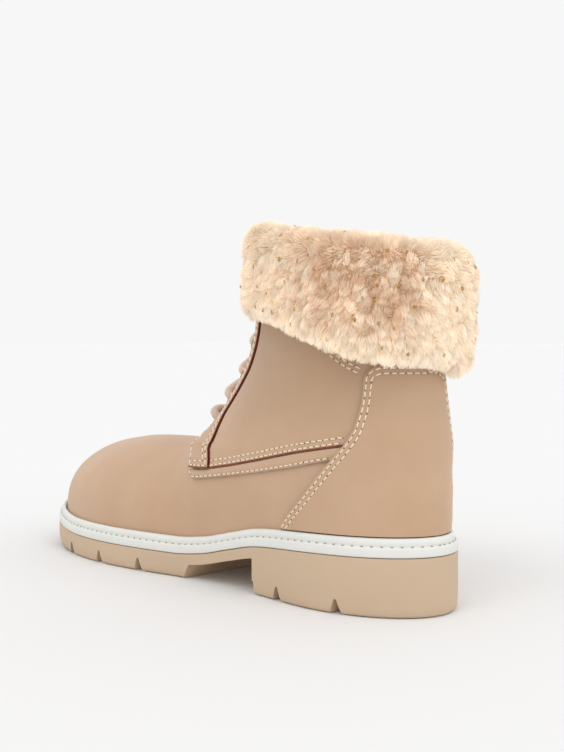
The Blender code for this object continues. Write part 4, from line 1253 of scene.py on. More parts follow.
def collar_seam(side):
    """The two rows of the collar seam, from the counter's corner forwards and up under the fur."""
    lines = []
    for drop in (0.0, SECOND_ROW - FIRST_ROW):
        table = [(a, z - drop) for a, z in COLLAR_SEAM]
        along = np.linspace(table[0][0], table[-1][0], 60)
        lines.append(last_point(along, smooth(table, along), side, LAYER_GAP + PANEL))
    return lines


def make_quarter_panels():
    frames = []
    for word, side in (("outer", 1), ("inner", -1)):
        view = quarter_side_view(110, 90)
        grid = panel_grid(view, side, LAYER_GAP + PANEL)
        grid[1] = grid[0] + unit(grid[2] - grid[0]) * DYED_EDGE
        tree = surface_tree(grid)
        middle = grid.reshape(-1, 3).mean(axis=0)
        rim = rim_of(grid[0], grid[:, -1])
        rows = [contour_row(tree, grid[0], d, grid[0], middle) for d in (FIRST_ROW, SECOND_ROW)]
        rows += collar_seam(side)
        lower = spaced(grid[0], DYED_STEP)
        obj = panel_piece(f"quarter_panel_{word}", grid, rim, rows, PANEL, dyed=lower)
        place_piece(obj, "nubuck", f"quarter_{word}")
        frames.append(stitches_on(mesh_tree(obj), [clear_of_counter(row) for row in rows]))
    return frames


def make_counter_panel():
    """The heel counter: one panel round the back of the heel, with two rows round its edge."""
    rows, columns = 90, 150
    share = crowded(rows, 4.0)[:, None]
    turn = np.linspace(-1, 1, columns)
    turn = np.sign(turn) * (1 - (1 - np.abs(turn)) ** 1.15)
    foot = counter_reach(COUNTER_FOOT)
    floor = welt_floor(foot * turn**2) + BEAD_HEIGHT + COUNTER_LIFT
    height = floor[None] + (COUNTER_TOP - floor[None]) * share
    back = back_line(height)
    along = back + (counter_reach(height) - back) * np.abs(turn[None]) ** 1.7
    offset = counter_offset(along, height) + COUNTER_PANEL
    outer, inner = (last_point(along, height, side, offset) for side in (1, -1))
    grid = np.where((turn >= 0)[None, :, None], outer, inner)
    tree = surface_tree(grid)
    rim = rim_of(grid[:, -1], grid[-1], grid[:, 0])
    around = np.concatenate([grid[:, -1], grid[-1, ::-1][1:], grid[::-1, 0][1:]])
    middle = grid[rows // 3, columns // 2] * [0, 1, 1]
    seams = []
    for distance in (FIRST_ROW, SECOND_ROW):
        row = contour_row(tree, around, distance, rim, middle)
        turned = back_seam(distance)
        across, height = row[:, 0], row[:, 2]
        beside = (across > turned[0, 0]) | (across < turned[-1, 0] - 0.003)
        seams += [row[beside | (height < 0.08)], turned]
    obj = panel_piece("counter_panel", grid, rim, seams, COUNTER_PANEL)
    place_piece(obj, "nubuck", "heel_counter")
    return [stitches_on(mesh_tree(obj), seams)]


def back_seam(distance):
    """A row that turns down from the counter's top at the back and runs to the welt."""
    wide = BACK_SEAM_CORNER[0] - distance
    high = BACK_SEAM_CORNER[1] - distance
    turn = np.linspace(0, math.pi / 2, 24)
    across = BACK_SEAM_CORNER[0] - BACK_SEAM - wide * np.sin(turn)
    height = COUNTER_TOP - BACK_SEAM_CORNER[1] + high * np.cos(turn)
    foot = float(welt_floor(0.01)) + BEAD_HEIGHT + BACK_SEAM_END
    down = np.linspace(COUNTER_TOP - BACK_SEAM_CORNER[1], foot, 60)[1:]
    lean = BACK_SEAM_LEAN * ease((height[-1] - down) / BACK_SEAM_FALL)
    across = np.concatenate([across, across[-1] - lean])
    height = np.concatenate([height, down])
    points = []
    for a, z in zip(across, height):
        side = 1 if a > 0 else -1
        reach = back_line(z) + np.linspace(0.00001, 0.03, 300)
        half = np.sqrt(np.maximum(half_width_squared(reach, z, side), 0))
        along = np.interp(abs(a), half[:200], reach[:200])
        points.append(last_point(along, z, side, counter_offset(along, z) + COUNTER_PANEL))
    return np.array(points).reshape(-1, 3)


def make_side_strap():
    """The puffed strip under the outer quarter, stitched along its lower edge and round its end."""
    view = band_side_view(130, 26)
    share = np.linspace(0, 1, 26)[:, None]
    puff = BAND_PUFF * np.sin(np.pi * share) ** 0.8
    grid = panel_grid(view, 1, LAYER_GAP + BAND_PANEL + puff + 0 * view[..., 0])
    tree = surface_tree(grid)
    middle = grid.reshape(-1, 3).mean(axis=0)
    edge = np.concatenate([grid[0], grid[1:, -1]])
    rim = rim_of(edge)
    seam = contour_row(tree, edge, FIRST_ROW, rim, middle)
    obj = panel_piece("side_strap", grid, rim, [seam], BAND_PANEL)
    place_piece(obj, "strap", "side_band")
    return [stitches_on(mesh_tree(obj), [clear_of_counter(seam)])]


def make_eyestay_panels():
    frames = []
    for word, side in (("outer", 1), ("inner", -1)):
        view = eyestay_side_view(40, 200)
        grid = panel_grid(view, side, EYESTAY_FACE)
        grid[-2] = grid[-1] + unit(grid[-3] - grid[-1]) * DYED_EDGE
        tree = surface_tree(grid)
        middle = grid.reshape(-1, 3).mean(axis=0)
        lacing, bottom, back = grid[:, 0], grid[-1], grid[:, -1]
        rim = rim_of(lacing, bottom, back)
        rows = [contour_row(tree, e, FIRST_ROW, rim, middle) for e in (lacing, bottom, back)]
        rows += [contour_row(tree, e, SECOND_ROW, rim, middle) for e in (bottom, back)]
        dyed = spaced(bottom, DYED_STEP)
        thickness = EYESTAY_FACE - LAYER_GAP
        obj = panel_piece(f"eyestay_panel_{word}", grid, rim, rows, thickness, dyed=dyed)
        frames.append(stitches_on(mesh_tree(obj), rows))
        punch(obj, (side,))
        place_piece(obj, "strap", f"eyestay_{word}")
    return frames


# Tongue and lacing
def throat_point(reach, across, rise):
    """A point over the crest: distance down it, signed distance from its middle, rise off the
    last."""
    reach, across, rise = np.broadcast_arrays(reach, across, rise)
    out = np.zeros(reach.shape + (3,))
    for side in (1, -1):
        view = beside_crest(reach, np.maximum(np.abs(across), 0.0004), side)
        found = last_point(view[..., 0], view[..., 1], side, rise)
        chosen = across >= 0 if side > 0 else across < 0
        out[chosen] = found[chosen]
    return out


def make_tongue_pad():
    """A padded tongue: crowned between its sides, its edge stitched flat."""
    face = WALL + 4 * LAYER_GAP
    start, end = reach_at_height(SHAFT_HEIGHT + TONGUE_RISE), THROAT_FOOT + TONGUE_REACH
    reach = np.linspace(start, end, 90)[:, None]
    share = np.linspace(-1, 1, 48)[None, :]
    half = TONGUE_TOP + (TONGUE_FOOT - TONGUE_TOP) * ease((reach - start) / TONGUE_WIDENING)
    rounding = np.sqrt(np.clip((reach - start + TONGUE_TIP) / TONGUE_ROUND, 0, 1))
    across = share * half * (0.55 + 0.45 * rounding)
    from_side = (1 - np.abs(share)) * half
    (seam_place, seam_width, seam_depth), (flat_width, flat_depth) = TONGUE_SEAM, TONGUE_FLAT
    seam = np.exp(-(((from_side - seam_place) / seam_width) ** 2))
    flat = 1 - ease(from_side / flat_width)
    sag = face + TONGUE_SAG + flat_depth * flat + seam_depth * seam
    outer = throat_point(reach, across, -sag)
    obj = laid_grid("tongue_pad", outer, nubuck(), fleece(), cut_edge())
    face_away(obj)
    clean_up(obj, outwards=False)
    give_wall(obj, TONGUE_THICKNESS - 0.0008, inner_slot=1, rim_slot=2)
    soften(obj, 60)
    place_piece(obj, "tongue", "tongue")


def eyelet_reach(row):
    """Distance down the crest of an eyelet row, counted from the lowest."""
    return reach_at_height(LOWEST_EYELET) - row * EYELET_PITCH


def eyelet_place(row, side):
    """Centre of an eyelet on the eyestay's face and the direction it looks."""
    along, height = beside_crest(eyelet_reach(row), EYELET_LINE, side)
    point = last_point(along, height, side, EYESTAY_FACE - 0.00005)
    return Vector(point), Vector(last_normal(along, height, side)).normalized()


def make_eyelets():
    """Turned and rolled metal eyelets, one in each hole."""
    tint = bpy.context.scene.boot_colours.metal
    metal = finish(
        "eyelet_brass", tint, darker(tint, 0.8), 400, 2600, 0.5, 0.24, 0.00001, Metallic=1.0
    )
    turn = np.linspace(0, 2 * math.pi, 33)
    profile = np.array(EYELET_PROFILE)
    radius, rise = profile[:, 0][:, None], profile[:, 1][:, None]
    ring = np.stack([radius * np.cos(turn), radius * np.sin(turn), rise + 0 * turn], axis=-1)
    for word, side in (("outer", 1), ("inner", -1)):
        for row in range(EYELET_ROWS):
            point, normal = eyelet_place(row, side)
            spin = np.array(normal.to_track_quat("Z", "Y").to_matrix())
            obj = laid_grid(f"eyelet_ring_{word}_{row + 1}", ring @ spin.T + np.array(point), metal)
            clean_up(obj, merge=2e-6)
            soften(obj, 45)
            place_piece(obj, "eyelet", f"eyelet_{word}_{row + 1}")


def lace_path():
    """Both laces and the bottom bar as rows of (down the crest, across, rise off the last)."""
    first = eyelet_reach(0)
    bar = [
        (first, x * EYELET_LINE, z + LACE_LIFT[0] * ease((1 - abs(x)) / LACE_SINK))
        for x, z in LACE_BAR
    ]
    paths = [bar]
    for side in (1, -1):
        rows = []
        for row in range(EYELET_ROWS - 1):
            if row == 0:
                run = LACE_UNDER
            else:
                run = LACE_OVER if (side > 0) == (row % 2 == 0) else LACE_BELOW
            start, end = eyelet_reach(row), eyelet_reach(row + 1)
            turned = side if row % 2 == 0 else -side
            lift = LACE_LIFT[0] + (LACE_LIFT[1] - LACE_LIFT[0]) * row / (EYELET_ROWS - 2)
            for share, across, rise in run:
                rise = rise + lift * ease((1 - abs(across)) / LACE_SINK) * (rise > 0)
                rows.append((start + (end - start) * share, turned * across * EYELET_LINE, rise))
        paths.append(rows)
    return paths


def tube(name, centre_line, radius, steps, finish_made):
    """A round cord along a line, its section carried along without twist."""
    tangent = unit(np.gradient(centre_line, axis=0))
    across = np.cross(tangent[0], [0.0, 0.3, 1.0])
    sides = []
    for t in tangent:
        across = across - t * np.dot(across, t)
        across = across / np.linalg.norm(across)
        sides.append(across)
    sides = np.array(sides)
    up = np.cross(tangent, sides)
    turn = np.linspace(0, 2 * math.pi, steps + 1)
    turn = turn[None, :, None]
    ring = np.cos(turn) * sides[:, None] + np.sin(turn) * up[:, None]
    caps = []
    for end, way in ((0, -1), (-1, 1)):
        tip = centre_line[end] + tangent[end] * way * radius * 0.5
        caps.append([tip + ring[end] * radius * k for k in (0.75, 0.0)])
    grid = np.concatenate([caps[0][::-1], centre_line[:, None] + ring * radius, caps[1]])
    obj = laid_grid(name, grid, finish_made)
    clean_up(obj, merge=2e-6)
    soften(obj, 70)
    return obj


def lace_finish():
    """Round braided cord: crossing strands in the cord's own map, over a mottled yarn."""
    tint = bpy.context.scene.boot_colours.lace
    made = bpy.data.materials.get("braided_cord")
    if made:
        return made
    made = finish("braided_cord", tint, darker(tint, 0.72), 700, 2600, 0.45, 0.8, 0.0001)
    tree = made.node_tree
    shader = tree.nodes["Principled BSDF"]
    place = add_node(tree, "ShaderNodeUVMap", {}, uv_map="UVMap").outputs["UV"]
    waves = []
    for lean in (1, -1):
        values = {"Vector": place, "Scale": (4.0, lean * LACE_STRANDS, 1.0)}
        turned = add_node(tree, "ShaderNodeMapping", values).outputs["Vector"]
        split = add_node(tree, "ShaderNodeSeparateXYZ", {"Vector": turned}).outputs
        values = {0: split["X"], 1: split["Y"]}
        total = add_node(tree, "ShaderNodeMath", values, operation="ADD").outputs[0]
        lap = add_node(tree, "ShaderNodeMath", {0: total, 1: 0.5}, operation="PINGPONG")
        waves.append(lap.outputs[0])
    woven = add_node(tree, "ShaderNodeMath", dict(enumerate(waves)), operation="MULTIPLY")
    values = {"Height": woven.outputs[0], "Distance": 0.0016, "Strength": 0.8}
    set_inputs(shader, {"Normal": add_node(tree, "ShaderNodeBump", values).outputs["Normal"]})
    return made


def make_lacing():
    pieces = []
    for number, rows in enumerate(lace_path()):
        line = throat_point(*smooth_line(rows, 90 * max(len(rows) // 9, 1)))
        line = resample(line, len(line))
        radius = LACE_DIAMETER / 2 - LACE_SLACK
        pieces.append(tube(f"cord_{number}", line, radius, 18, lace_finish()))
    laces = joined(pieces, "lacing")
    place_piece(laces, "lace", "lace")


# Sole
def plan_outline(margin, count=120):
    """Outer and inner sides of the plan, a margin outside the upper's bottom edge."""
    turn = np.linspace(0.0, math.pi, count)
    along = FEATHER_BACK + (FEATHER_FRONT - FEATHER_BACK) * (1 - np.cos(turn)) / 2
    sides = []
    for side in (1, -1):
        width = plan_width(along, side) * np.sqrt(np.maximum(end_rounding(along), 0.0))
        line = np.column_stack([along, centre(along) + side * width])
        tangent = np.gradient(line, axis=0)
        tangent[0], tangent[-1] = (0.0, side), (0.0, -side)
        tangent = unit(tangent)
        normal = np.column_stack([-tangent[:, 1], tangent[:, 0]]) * side
        sides.append(line + normal * margin)
    stations = sides[0][:, 0].copy()
    inner = np.interp(stations, sides[1][:, 0], sides[1][:, 1])
    inner[0], inner[-1] = sides[0][0, 1], sides[0][-1, 1]
    sides[1] = np.column_stack([stations, inner])
    return sides


def plan_ring(margin, height, share=1.0):
    """The plan as one closed row of points, drawn in to a share of its width."""
    outer, inner = plan_outline(margin)
    middle = (outer[:, 1] + inner[:, 1]) / 2
    for line in (outer, inner):
        line[:, 1] = middle + (line[:, 1] - middle) * share
    line = np.concatenate([outer, inner[-2::-1]])
    return world(line[:, 0], line[:, 1], height(line[:, 0]))


def ring_body(name, section, base, made, hollow=0.0):
    """A closed body through rings of the plan, its underside and top drawn in to the middle. The
    top's middle is hollow by a depth."""
    rows = [(*section[0], share, 0.0) for share in (0.0, 0.5)]
    rows += [(*row, 1.0, 0.0) for row in section]
    rows += [(*section[-1], share, hollow) for share in (0.5, 0.0)]
    rings = []
    for margin, rise, share, drop in rows:
        rings.append(plan_ring(margin, lambda a: base(a, rise) - drop, share))
    obj = laid_grid(name, np.array(rings), made)
    clean_up(obj)
    return obj


def side_prism(name, profile):
    """A cutter: a side-view outline of (along, height) run across the whole boot."""
    bpy.ops.object.select_all(action="DESELECT")
    bpy.ops.mesh.primitive_circle_add(vertices=len(profile), fill_type="NGON")
    cutter = bpy.context.object
    points = world(np.array(profile)[:, 0], -0.08, np.array(profile)[:, 1])
    cutter.data.vertices.foreach_set("co", points.astype(np.float32).ravel())
    bpy.ops.object.mode_set(mode="EDIT")
    bpy.ops.mesh.select_all(action="SELECT")
    bpy.ops.mesh.extrude_region_move(TRANSFORM_OT_translate={"value": (0.16, 0.0, 0.0)})
    bpy.ops.mesh.select_all(action="SELECT")
    bpy.ops.mesh.normals_make_consistent(inside=False)
    bpy.ops.object.mode_set(mode="OBJECT")
    return cutter


def cut_with(obj, profile):
    cutter = side_prism("cutter", profile)
    apply_modifier(obj, "BOOLEAN", object=cutter, operation="DIFFERENCE", solver="EXACT")
    bpy.data.objects.remove(cutter)


def notch_profile(station):
    """A groove across the tread: flared at the ground, with a rounded roof."""
    floor = float(ground(station))
    flare = (GROOVE_WIDTH - GROOVE_ROOF_WIDTH) / 2 / TREAD_DEPTH
    low = GROOVE_WIDTH / 2 + flare * CUT_PAST
    roof = GROOVE_ROOF_WIDTH / 2
    profile = [(station - low, floor - CUT_PAST)]
    for turn in np.linspace(math.pi, 0, 7):
        across, rise = roof * math.cos(turn), roof * math.sin(turn)
        profile.append((station + across, floor + TREAD_DEPTH - roof + rise))
    profile.append((station + low, floor - CUT_PAST))
    return profile


def make_tread_sole():
    tint = bpy.context.scene.boot_colours.rubber
    rubber = finish("moulded_rubber", tint, darker(tint, 0.93), 30, 1400, 0.35, 0.62, 0.00005)

    def base(along, rise):
        return ground(along) + rise if rise < 0.005 else rubber_top(along) + rise - 0.01

    section = [(SOLE_MARGIN + m, z) for m, z in SOLE_SECTION]
    obj = ring_body("tread_sole", section, base, rubber)
    heel = HEEL_BLOCK_LENGTH
    profile = [(heel - 0.0016, -CUT_PAST), (heel - 0.0010, TREAD_DEPTH - 0.0006)]
    profile += [(heel, TREAD_DEPTH)]
    profile += [
        (a, float(rubber_top(a)) - ARCH_THICKNESS) for a in np.linspace(heel, ARCH_END - 0.004, 24)
    ]
    profile += [(ARCH_END, 0.0), (ARCH_END + 0.0033, -CUT_PAST)]
    cut_with(obj, profile)
    stations = [HEEL_GROOVE_START + i * HEEL_GROOVE_PITCH for i in range(2)]
    stations += [FOREFOOT_GROOVE_START + i * GROOVE_PITCH for i in range(4)]
    for station in stations:
        cut_with(obj, notch_profile(station))
    soften(obj, 32)
    place_piece(obj, "sole_rubber", "outsole")


def make_stepped_welt():
    """The welt: a band flush with the sole, a stitched groove and a rounded bead."""
    tint = bpy.context.scene.boot_colours
    white = finish("welt_rubber", tint.welt, darker(tint.welt, 0.96), 60, 1800, 0.3, 0.45, 0.00002)

    def base(along, rise):
        return rubber_top(along) + FIT_GAP + rise

    obj = ring_body("stepped_welt", WELT_SECTION, base, white)
    soften(obj, 50)
    place_piece(obj, "welt", "welt")
    margin, rise = WELT_SECTION[WELT_GROOVE]
    line = plan_ring(margin + 0.0001, lambda a: base(a, rise + 0.0001))
    line = spaced(line, SEAM_STEP)
    step = int(round(bpy.context.scene.boot_sizes.welt_pitch / SEAM_STEP))
    at = np.arange(step // 2, len(line) - 1, step)
    tangent = unit(line[at + 1] - line[at - 1])
    outwards = unit(np.cross(tangent, [0.0, 0.0, 1.0]))
    outwards *= np.sign((outwards[:, :2] * (line[at, :2] - [0.0, -0.09])).sum())
    look = unit(outwards * 0.8 + np.array([0.0, 0.0, 0.6]))
    basis = np.stack([tangent, np.cross(look, tangent), look], axis=1)
    points = line[at][:, None] + np.einsum("vk,nkc->nvc", hole_ring(8, *WELT_HOLE), basis)
    # Grey discs of painted shade where the welt's needle holes are
    shade = tone(150, 146, 138)
    dark = finish("welt_needle_hole_shade", shade, darker(shade, 0.7), 800, 3000, 0.5, 0.9, 0.00002)
    place_piece(scattered("welt_holes", points, np.arange(8)[None], dark), "welt")


def make_sock_lining():
    inset = WALL + 0.0008

    def base(along, rise):
        return welt_floor(along) + FIT_GAP + rise

    section = [
        (-inset, 0.0),
        (-inset, INSOLE_THICKNESS - 0.001),
        (-inset - 0.0004, INSOLE_THICKNESS - 0.0003),
        (-inset - 0.0012, INSOLE_THICKNESS),
    ]
    obj = ring_body("sock_lining", section, base, fleece(), hollow=0.0008)
    soften(obj, 50)
    place_piece(obj, "insole", "insole")


# Fur cuff
def cuff_base(count):
    """Grid of the cuff under its pile: stations round the shaft by points of its section."""
    level = CUFF_LEVEL
    back, front = float(back_line(level)), float(crest_along(level))
    end = float(beside_crest(reach_at_height(level), CUFF_HALF_GAP + END_ROUNDING)[0])
    limit = math.acos(1 - 2 * (end - back) / (front - back)) / math.pi
    turn = np.linspace(-1, 1, count)
    along = back + (front - back) * (1 - np.cos(math.pi * np.abs(turn) * limit)) / 2
    share = (along - back) / (front - back)
    hem = CUFF_HEM_BACK + (CUFF_HEM_FRONT - CUFF_HEM_BACK) * ease(share / 0.75) + HEM_LIFT
    hem = hem - HEM_DIP * window(turn, *HEM_DIP_REACH)
    top = CUFF_TOP_BACK + (CUFF_TOP_FRONT - CUFF_TOP_BACK) * share - PILE_RISE * 0.75
    end_share = np.clip((np.abs(turn) - (1 - CUFF_END)) / CUFF_END, 0, 1)
    rounded = np.sqrt(1 - end_share**2 * 0.97)
    thick = smooth(CUFF_THICKNESS, share * (front - back) / SOLE_LENGTH)
    fur_body = np.maximum(thick - PILE_RISE, CUFF_THINNEST) * rounded
    outside = EYESTAY_FACE + 8 * FIT_GAP
    inside = -WALL - LAYER_GAP - 4 * FIT_GAP
    collar = collar_height(along) + CUFF_OVER_COLLAR
    offsets, heights = [], []
    for k, rise in CUFF_OUTER:
        offsets.append(outside + fur_body * k)
        heights.append(hem + (top - hem) * rise)
    for depth, drop in CUFF_INNER:
        offsets.append(inside - depth * rounded)
        heights.append(top - drop)
    offsets += [inside + 0 * along, outside + 0 * along]
    heights += [collar, collar]
    offsets, heights = np.array(offsets).T, np.array(heights).T
    grid = np.zeros(offsets.shape + (3,))
    for side in (1, -1):
        chosen = turn < 0 if side > 0 else turn >= 0
        normal = last_normal(along, level, side) * [1, 1, 0]
        body = last_point(along[:, None], heights, side)
        body[..., 2] = heights
        found = body + unit(normal)[:, None] * offsets[..., None]
        grid[chosen] = found[chosen]
    return grid


def relaxed(grid, times, fixed):
    """Rounds a closed section by drawing each point towards its neighbours, save the fixed ones."""
    free = np.ones(grid.shape[1], bool)
    free[list(fixed)] = False
    for _ in range(times):
        mean = (np.roll(grid, 1, axis=1) + np.roll(grid, -1, axis=1)) / 2
        grid = np.where(free[None, :, None], grid * 0.5 + mean * 0.5, grid)
    return grid


def fold_of(count_round, count_section):
    """The cuff's body, resampled to even steps round each section."""
    grid = cuff_base(count_round)
    closed = np.concatenate([grid, grid[:, :1]], axis=1)
    fine = np.array([resample(row, count_section) for row in closed])
    shown = int(FUR_SHARE * count_section)
    hidden = range(shown, count_section)
    fine[:, 1:shown] = relaxed(fine, CUFF_ROUNDS, (0, *hidden))[:, 1:shown]
    return fine


def surface_noise(points, scale, seed):
    """Smooth values from -1 to 1 that change over a distance of about the scale."""
    gen = np.random.default_rng(seed)
    total = np.zeros(len(points))
    for _ in range(7):
        way = unit(gen.normal(size=3))
        phase = points @ way * 2 * math.pi / scale / gen.uniform(0.7, 1.6)
        total += np.sin(phase + gen.uniform(0, 6))
    return total / 3.2


def fur_roots(grid, count):
    """Random places on the cuff's outside with their normals, and how far up its section and how
    far round the shaft they are, as shares."""
    stations, points = grid.shape[0] - 1, grid.shape[1] - 1
    part = grid[:, : int(FUR_SHARE * points) + 1]
    a, b = part[:-1, :-1], part[1:, :-1]
    c, d = part[1:, 1:], part[:-1, 1:]
    across = np.cross(c - a, d - b)
    area = np.linalg.norm(across, axis=-1).ravel()
    pick = np.searchsorted(np.cumsum(area) / area.sum(), RNG.random(count))
    pick = np.minimum(pick, area.size - 1)
    u, v = RNG.random((2, count, 1))
    corners = [q.reshape(-1, 3)[pick] for q in (a, b, c, d)]
    low_edge = corners[0] * (1 - u) + corners[1] * u
    high_edge = corners[3] * (1 - u) + corners[2] * u
    point = low_edge * (1 - v) + high_edge * v
    columns = part.shape[1] - 1
    share = (pick % columns + v[:, 0]) / points
    around = (pick // columns + u[:, 0]) / stations
    row = np.minimum((around * stations).astype(int), stations - 1)
    column = np.minimum((share * points).astype(int), points - 1)
    return point, grid_face_normals(grid)[row, column], share, around


def grid_face_normals(grid):
    """Unit normals of a closed section's faces, turned out of the solid."""
    across = np.cross(grid[1:, 1:] - grid[:-1, :-1], grid[:-1, 1:] - grid[1:, :-1])
    normals = unit(across)
    body = grid[:-1, :-1].mean(axis=1, keepdims=True)
    sign = np.sign(((grid[:-1, :-1] - body) * normals).sum())
    for _ in range(10):
        normals = normals * 2 + np.roll(normals, 1, axis=1) + np.roll(normals, -1, axis=1)
        normals[1:-1] += normals[:-2] * 0.5 + normals[2:] * 0.5
        normals = unit(normals)
    return normals * sign


def nearest_lock(points, seeds):
    """The lock of fur that each hair belongs to: the nearest of the locks' middles."""
    tree = KDTree(len(seeds))
    for i, p in enumerate(seeds):
        tree.insert(p, i)
    tree.balance()
    return np.array([tree.find(p)[1] for p in points])


def hair_blades(point, normal):
    """Five points of every hair, from root over knee to tip, and the lock that it belongs to."""
    size, count = bpy.context.scene.boot_sizes, len(point)
    down = np.array([0.0, 0.0, -1.0])
    fall = down - normal * (normal @ down)[:, None]
    swirl = np.stack([surface_noise(point, SWIRL_SCALE, s) for s in (11, 12, 13)], axis=1)
    stray = RNG.normal(0, 0.12, (count, 3))
    way = unit(normal * 0.9 + fall * 0.45 + swirl * 0.26 + stray)
    patch = surface_noise(point, 0.013, 21)
    length = size.pile * RNG.uniform(0.72, 1.08, count) * (0.92 + 0.16 * patch)
    knee = point + way * (length * KNEE_SHARE)[:, None]
    seeds = point[: int(count * LOCK_SHARE)]
    seed_tip = seeds + way[: len(seeds)] * size.pile
    lock = nearest_lock(point, seeds)
    tip = knee + unit(way + fall * 0.5) * (length * (1 - KNEE_SHARE))[:, None]
    tip = tip + (seed_tip[lock] - tip) * CLUMPING
    beside = unit(np.cross(way, normal + RNG.normal(0, 0.25, (count, 3))))
    width = RNG.uniform(*HAIR_HALF_WIDTH, count)[:, None]
    sides = beside * width
    corners = [point - sides * 0.9, point + sides * 0.9, knee + sides, knee - sides, tip]
    return np.stack(corners, axis=1), lock


def hair_colours(point, share, around, lock):
    """Colours of the five points of every hair: caramel patches in bands round a pale cuff."""
    tint = bpy.context.scene.boot_colours
    root, tip, patch = (np.array(c) for c in (tint.fur_root, tint.fur_tip, tint.fur_patch))
    locks = lock.max() + 1
    band = window(np.clip(share / FUR_CROWN, 0, 1), *PATCH_BAND)
    spots = 0.66 + 0.25 * surface_noise(point, 0.020, 31) + 0.30 * surface_noise(point, 0.006, 32)
    spots = spots + RNG.uniform(-0.45, 0.45, locks)[lock]
    away = np.abs(around - 0.5)
    side = ease((away - 0.03) / 0.09) * (1 - 0.6 * ease((away - 0.23) / 0.10))
    mask = np.clip(band * (side * ease((0.48 - away) / 0.07)) * spots, 0, 1)[:, None]
    roots = root * (1 - mask) + patch * mask
    tips = tip * (1 - mask * 0.55) + patch * mask * 0.55
    knees = roots * 0.35 + tips * 0.65
    shade = RNG.uniform(0.93, 1.04, len(point)) * RNG.uniform(0.90, 1.06, locks)[lock]
    return np.stack([roots, roots, knees, knees, tips], axis=1) * shade[:, None, None]


def make_cuff():
    """The cuff's body and its pile, in meshes of a size that the export takes."""
    size, tint = bpy.context.scene.boot_sizes, bpy.context.scene.boot_colours
    grid = fold_of(*CUFF_GRID)
    ends = [np.tile(grid[k].mean(axis=0), (1, grid.shape[1], 1)) for k in (0, -1)]
    body = laid_grid("cuff_body", np.concatenate([ends[0], grid, ends[1]]), fur_finish())
    clean_up(body, merge=2e-6)
    soften(body, 70)
    paint(body, np.repeat([tint.fur_root], len(body.data.vertices), axis=0))
    place_piece(body, "fur", "fur_cuff")
    point, normal, share, around = fur_roots(grid, size.hairs)
    blades, lock = hair_blades(point, normal)
    colours = hair_colours(point, share, around, lock)
    faces = np.array([[0, 1, 2], [0, 2, 3], [3, 2, 4]])
    parts = math.ceil(size.hairs / HAIRS_IN_A_MESH)
    for number, chosen in enumerate(np.array_split(np.arange(size.hairs), parts)):
        tuft = scattered(f"cuff_pile_{number + 1}", blades[chosen], faces, fur_finish())
        tuft.data.shade_smooth()
        paint(tuft, np.clip(colours[chosen].reshape(-1, 3), 0, 1))
        place_piece(tuft, "fur")
    make_foil(grid)


def paint(obj, colours):
    """Colours of the fur at each point, as its dye would lie on it."""
    layer = obj.data.color_attributes.new("dye", "FLOAT_COLOR", "POINT")
    values = np.concatenate([colours, np.ones((len(colours), 1))], axis=1)
    layer.data.foreach_set("color", values.astype(np.float32).ravel())


def fur_finish():
    """Fur in its dye's colours, each strand a little lighter or darker, with a painted glow:
    emission in the dye's colour that stands in for light passing through the hairs and lifts the
    shade between them."""
    made = bpy.data.materials.get("cuff_fur")
    if made:
        return made
    made, shader = new_finish("cuff_fur")
    tree = made.node_tree
    dye = add_node(tree, "ShaderNodeAttribute", {}, attribute_name="dye").outputs["Color"]
    place = add_node(tree, "ShaderNodeTexCoord", {}).outputs["Object"]
    values = {"Vector": place, "Scale": 900.0, "Detail": 2.0, "Roughness": 0.6}
    strand = add_node(tree, "ShaderNodeTexNoise", values).outputs["Fac"]
    values = {"Value": strand, "To Min": 0.86, "To Max": 1.08}
    lift = add_node(tree, "ShaderNodeMapRange", values).outputs[0]
    dyed = add_node(tree, "ShaderNodeVectorMath", {0: dye, 3: lift}, operation="SCALE")
    values = {"Base Color": dyed.outputs["Vector"], "Emission Color": dyed.outputs["Vector"]}
    # Painted glow: the emission lightens the fur where its blades lie in their own shade
    values.update({"Emission Strength": 0.22, "Roughness": 0.75})
    set_inputs(shader, {**values, "Sheen Weight": 0.3, "Specular IOR Level": 0.25})
    return made


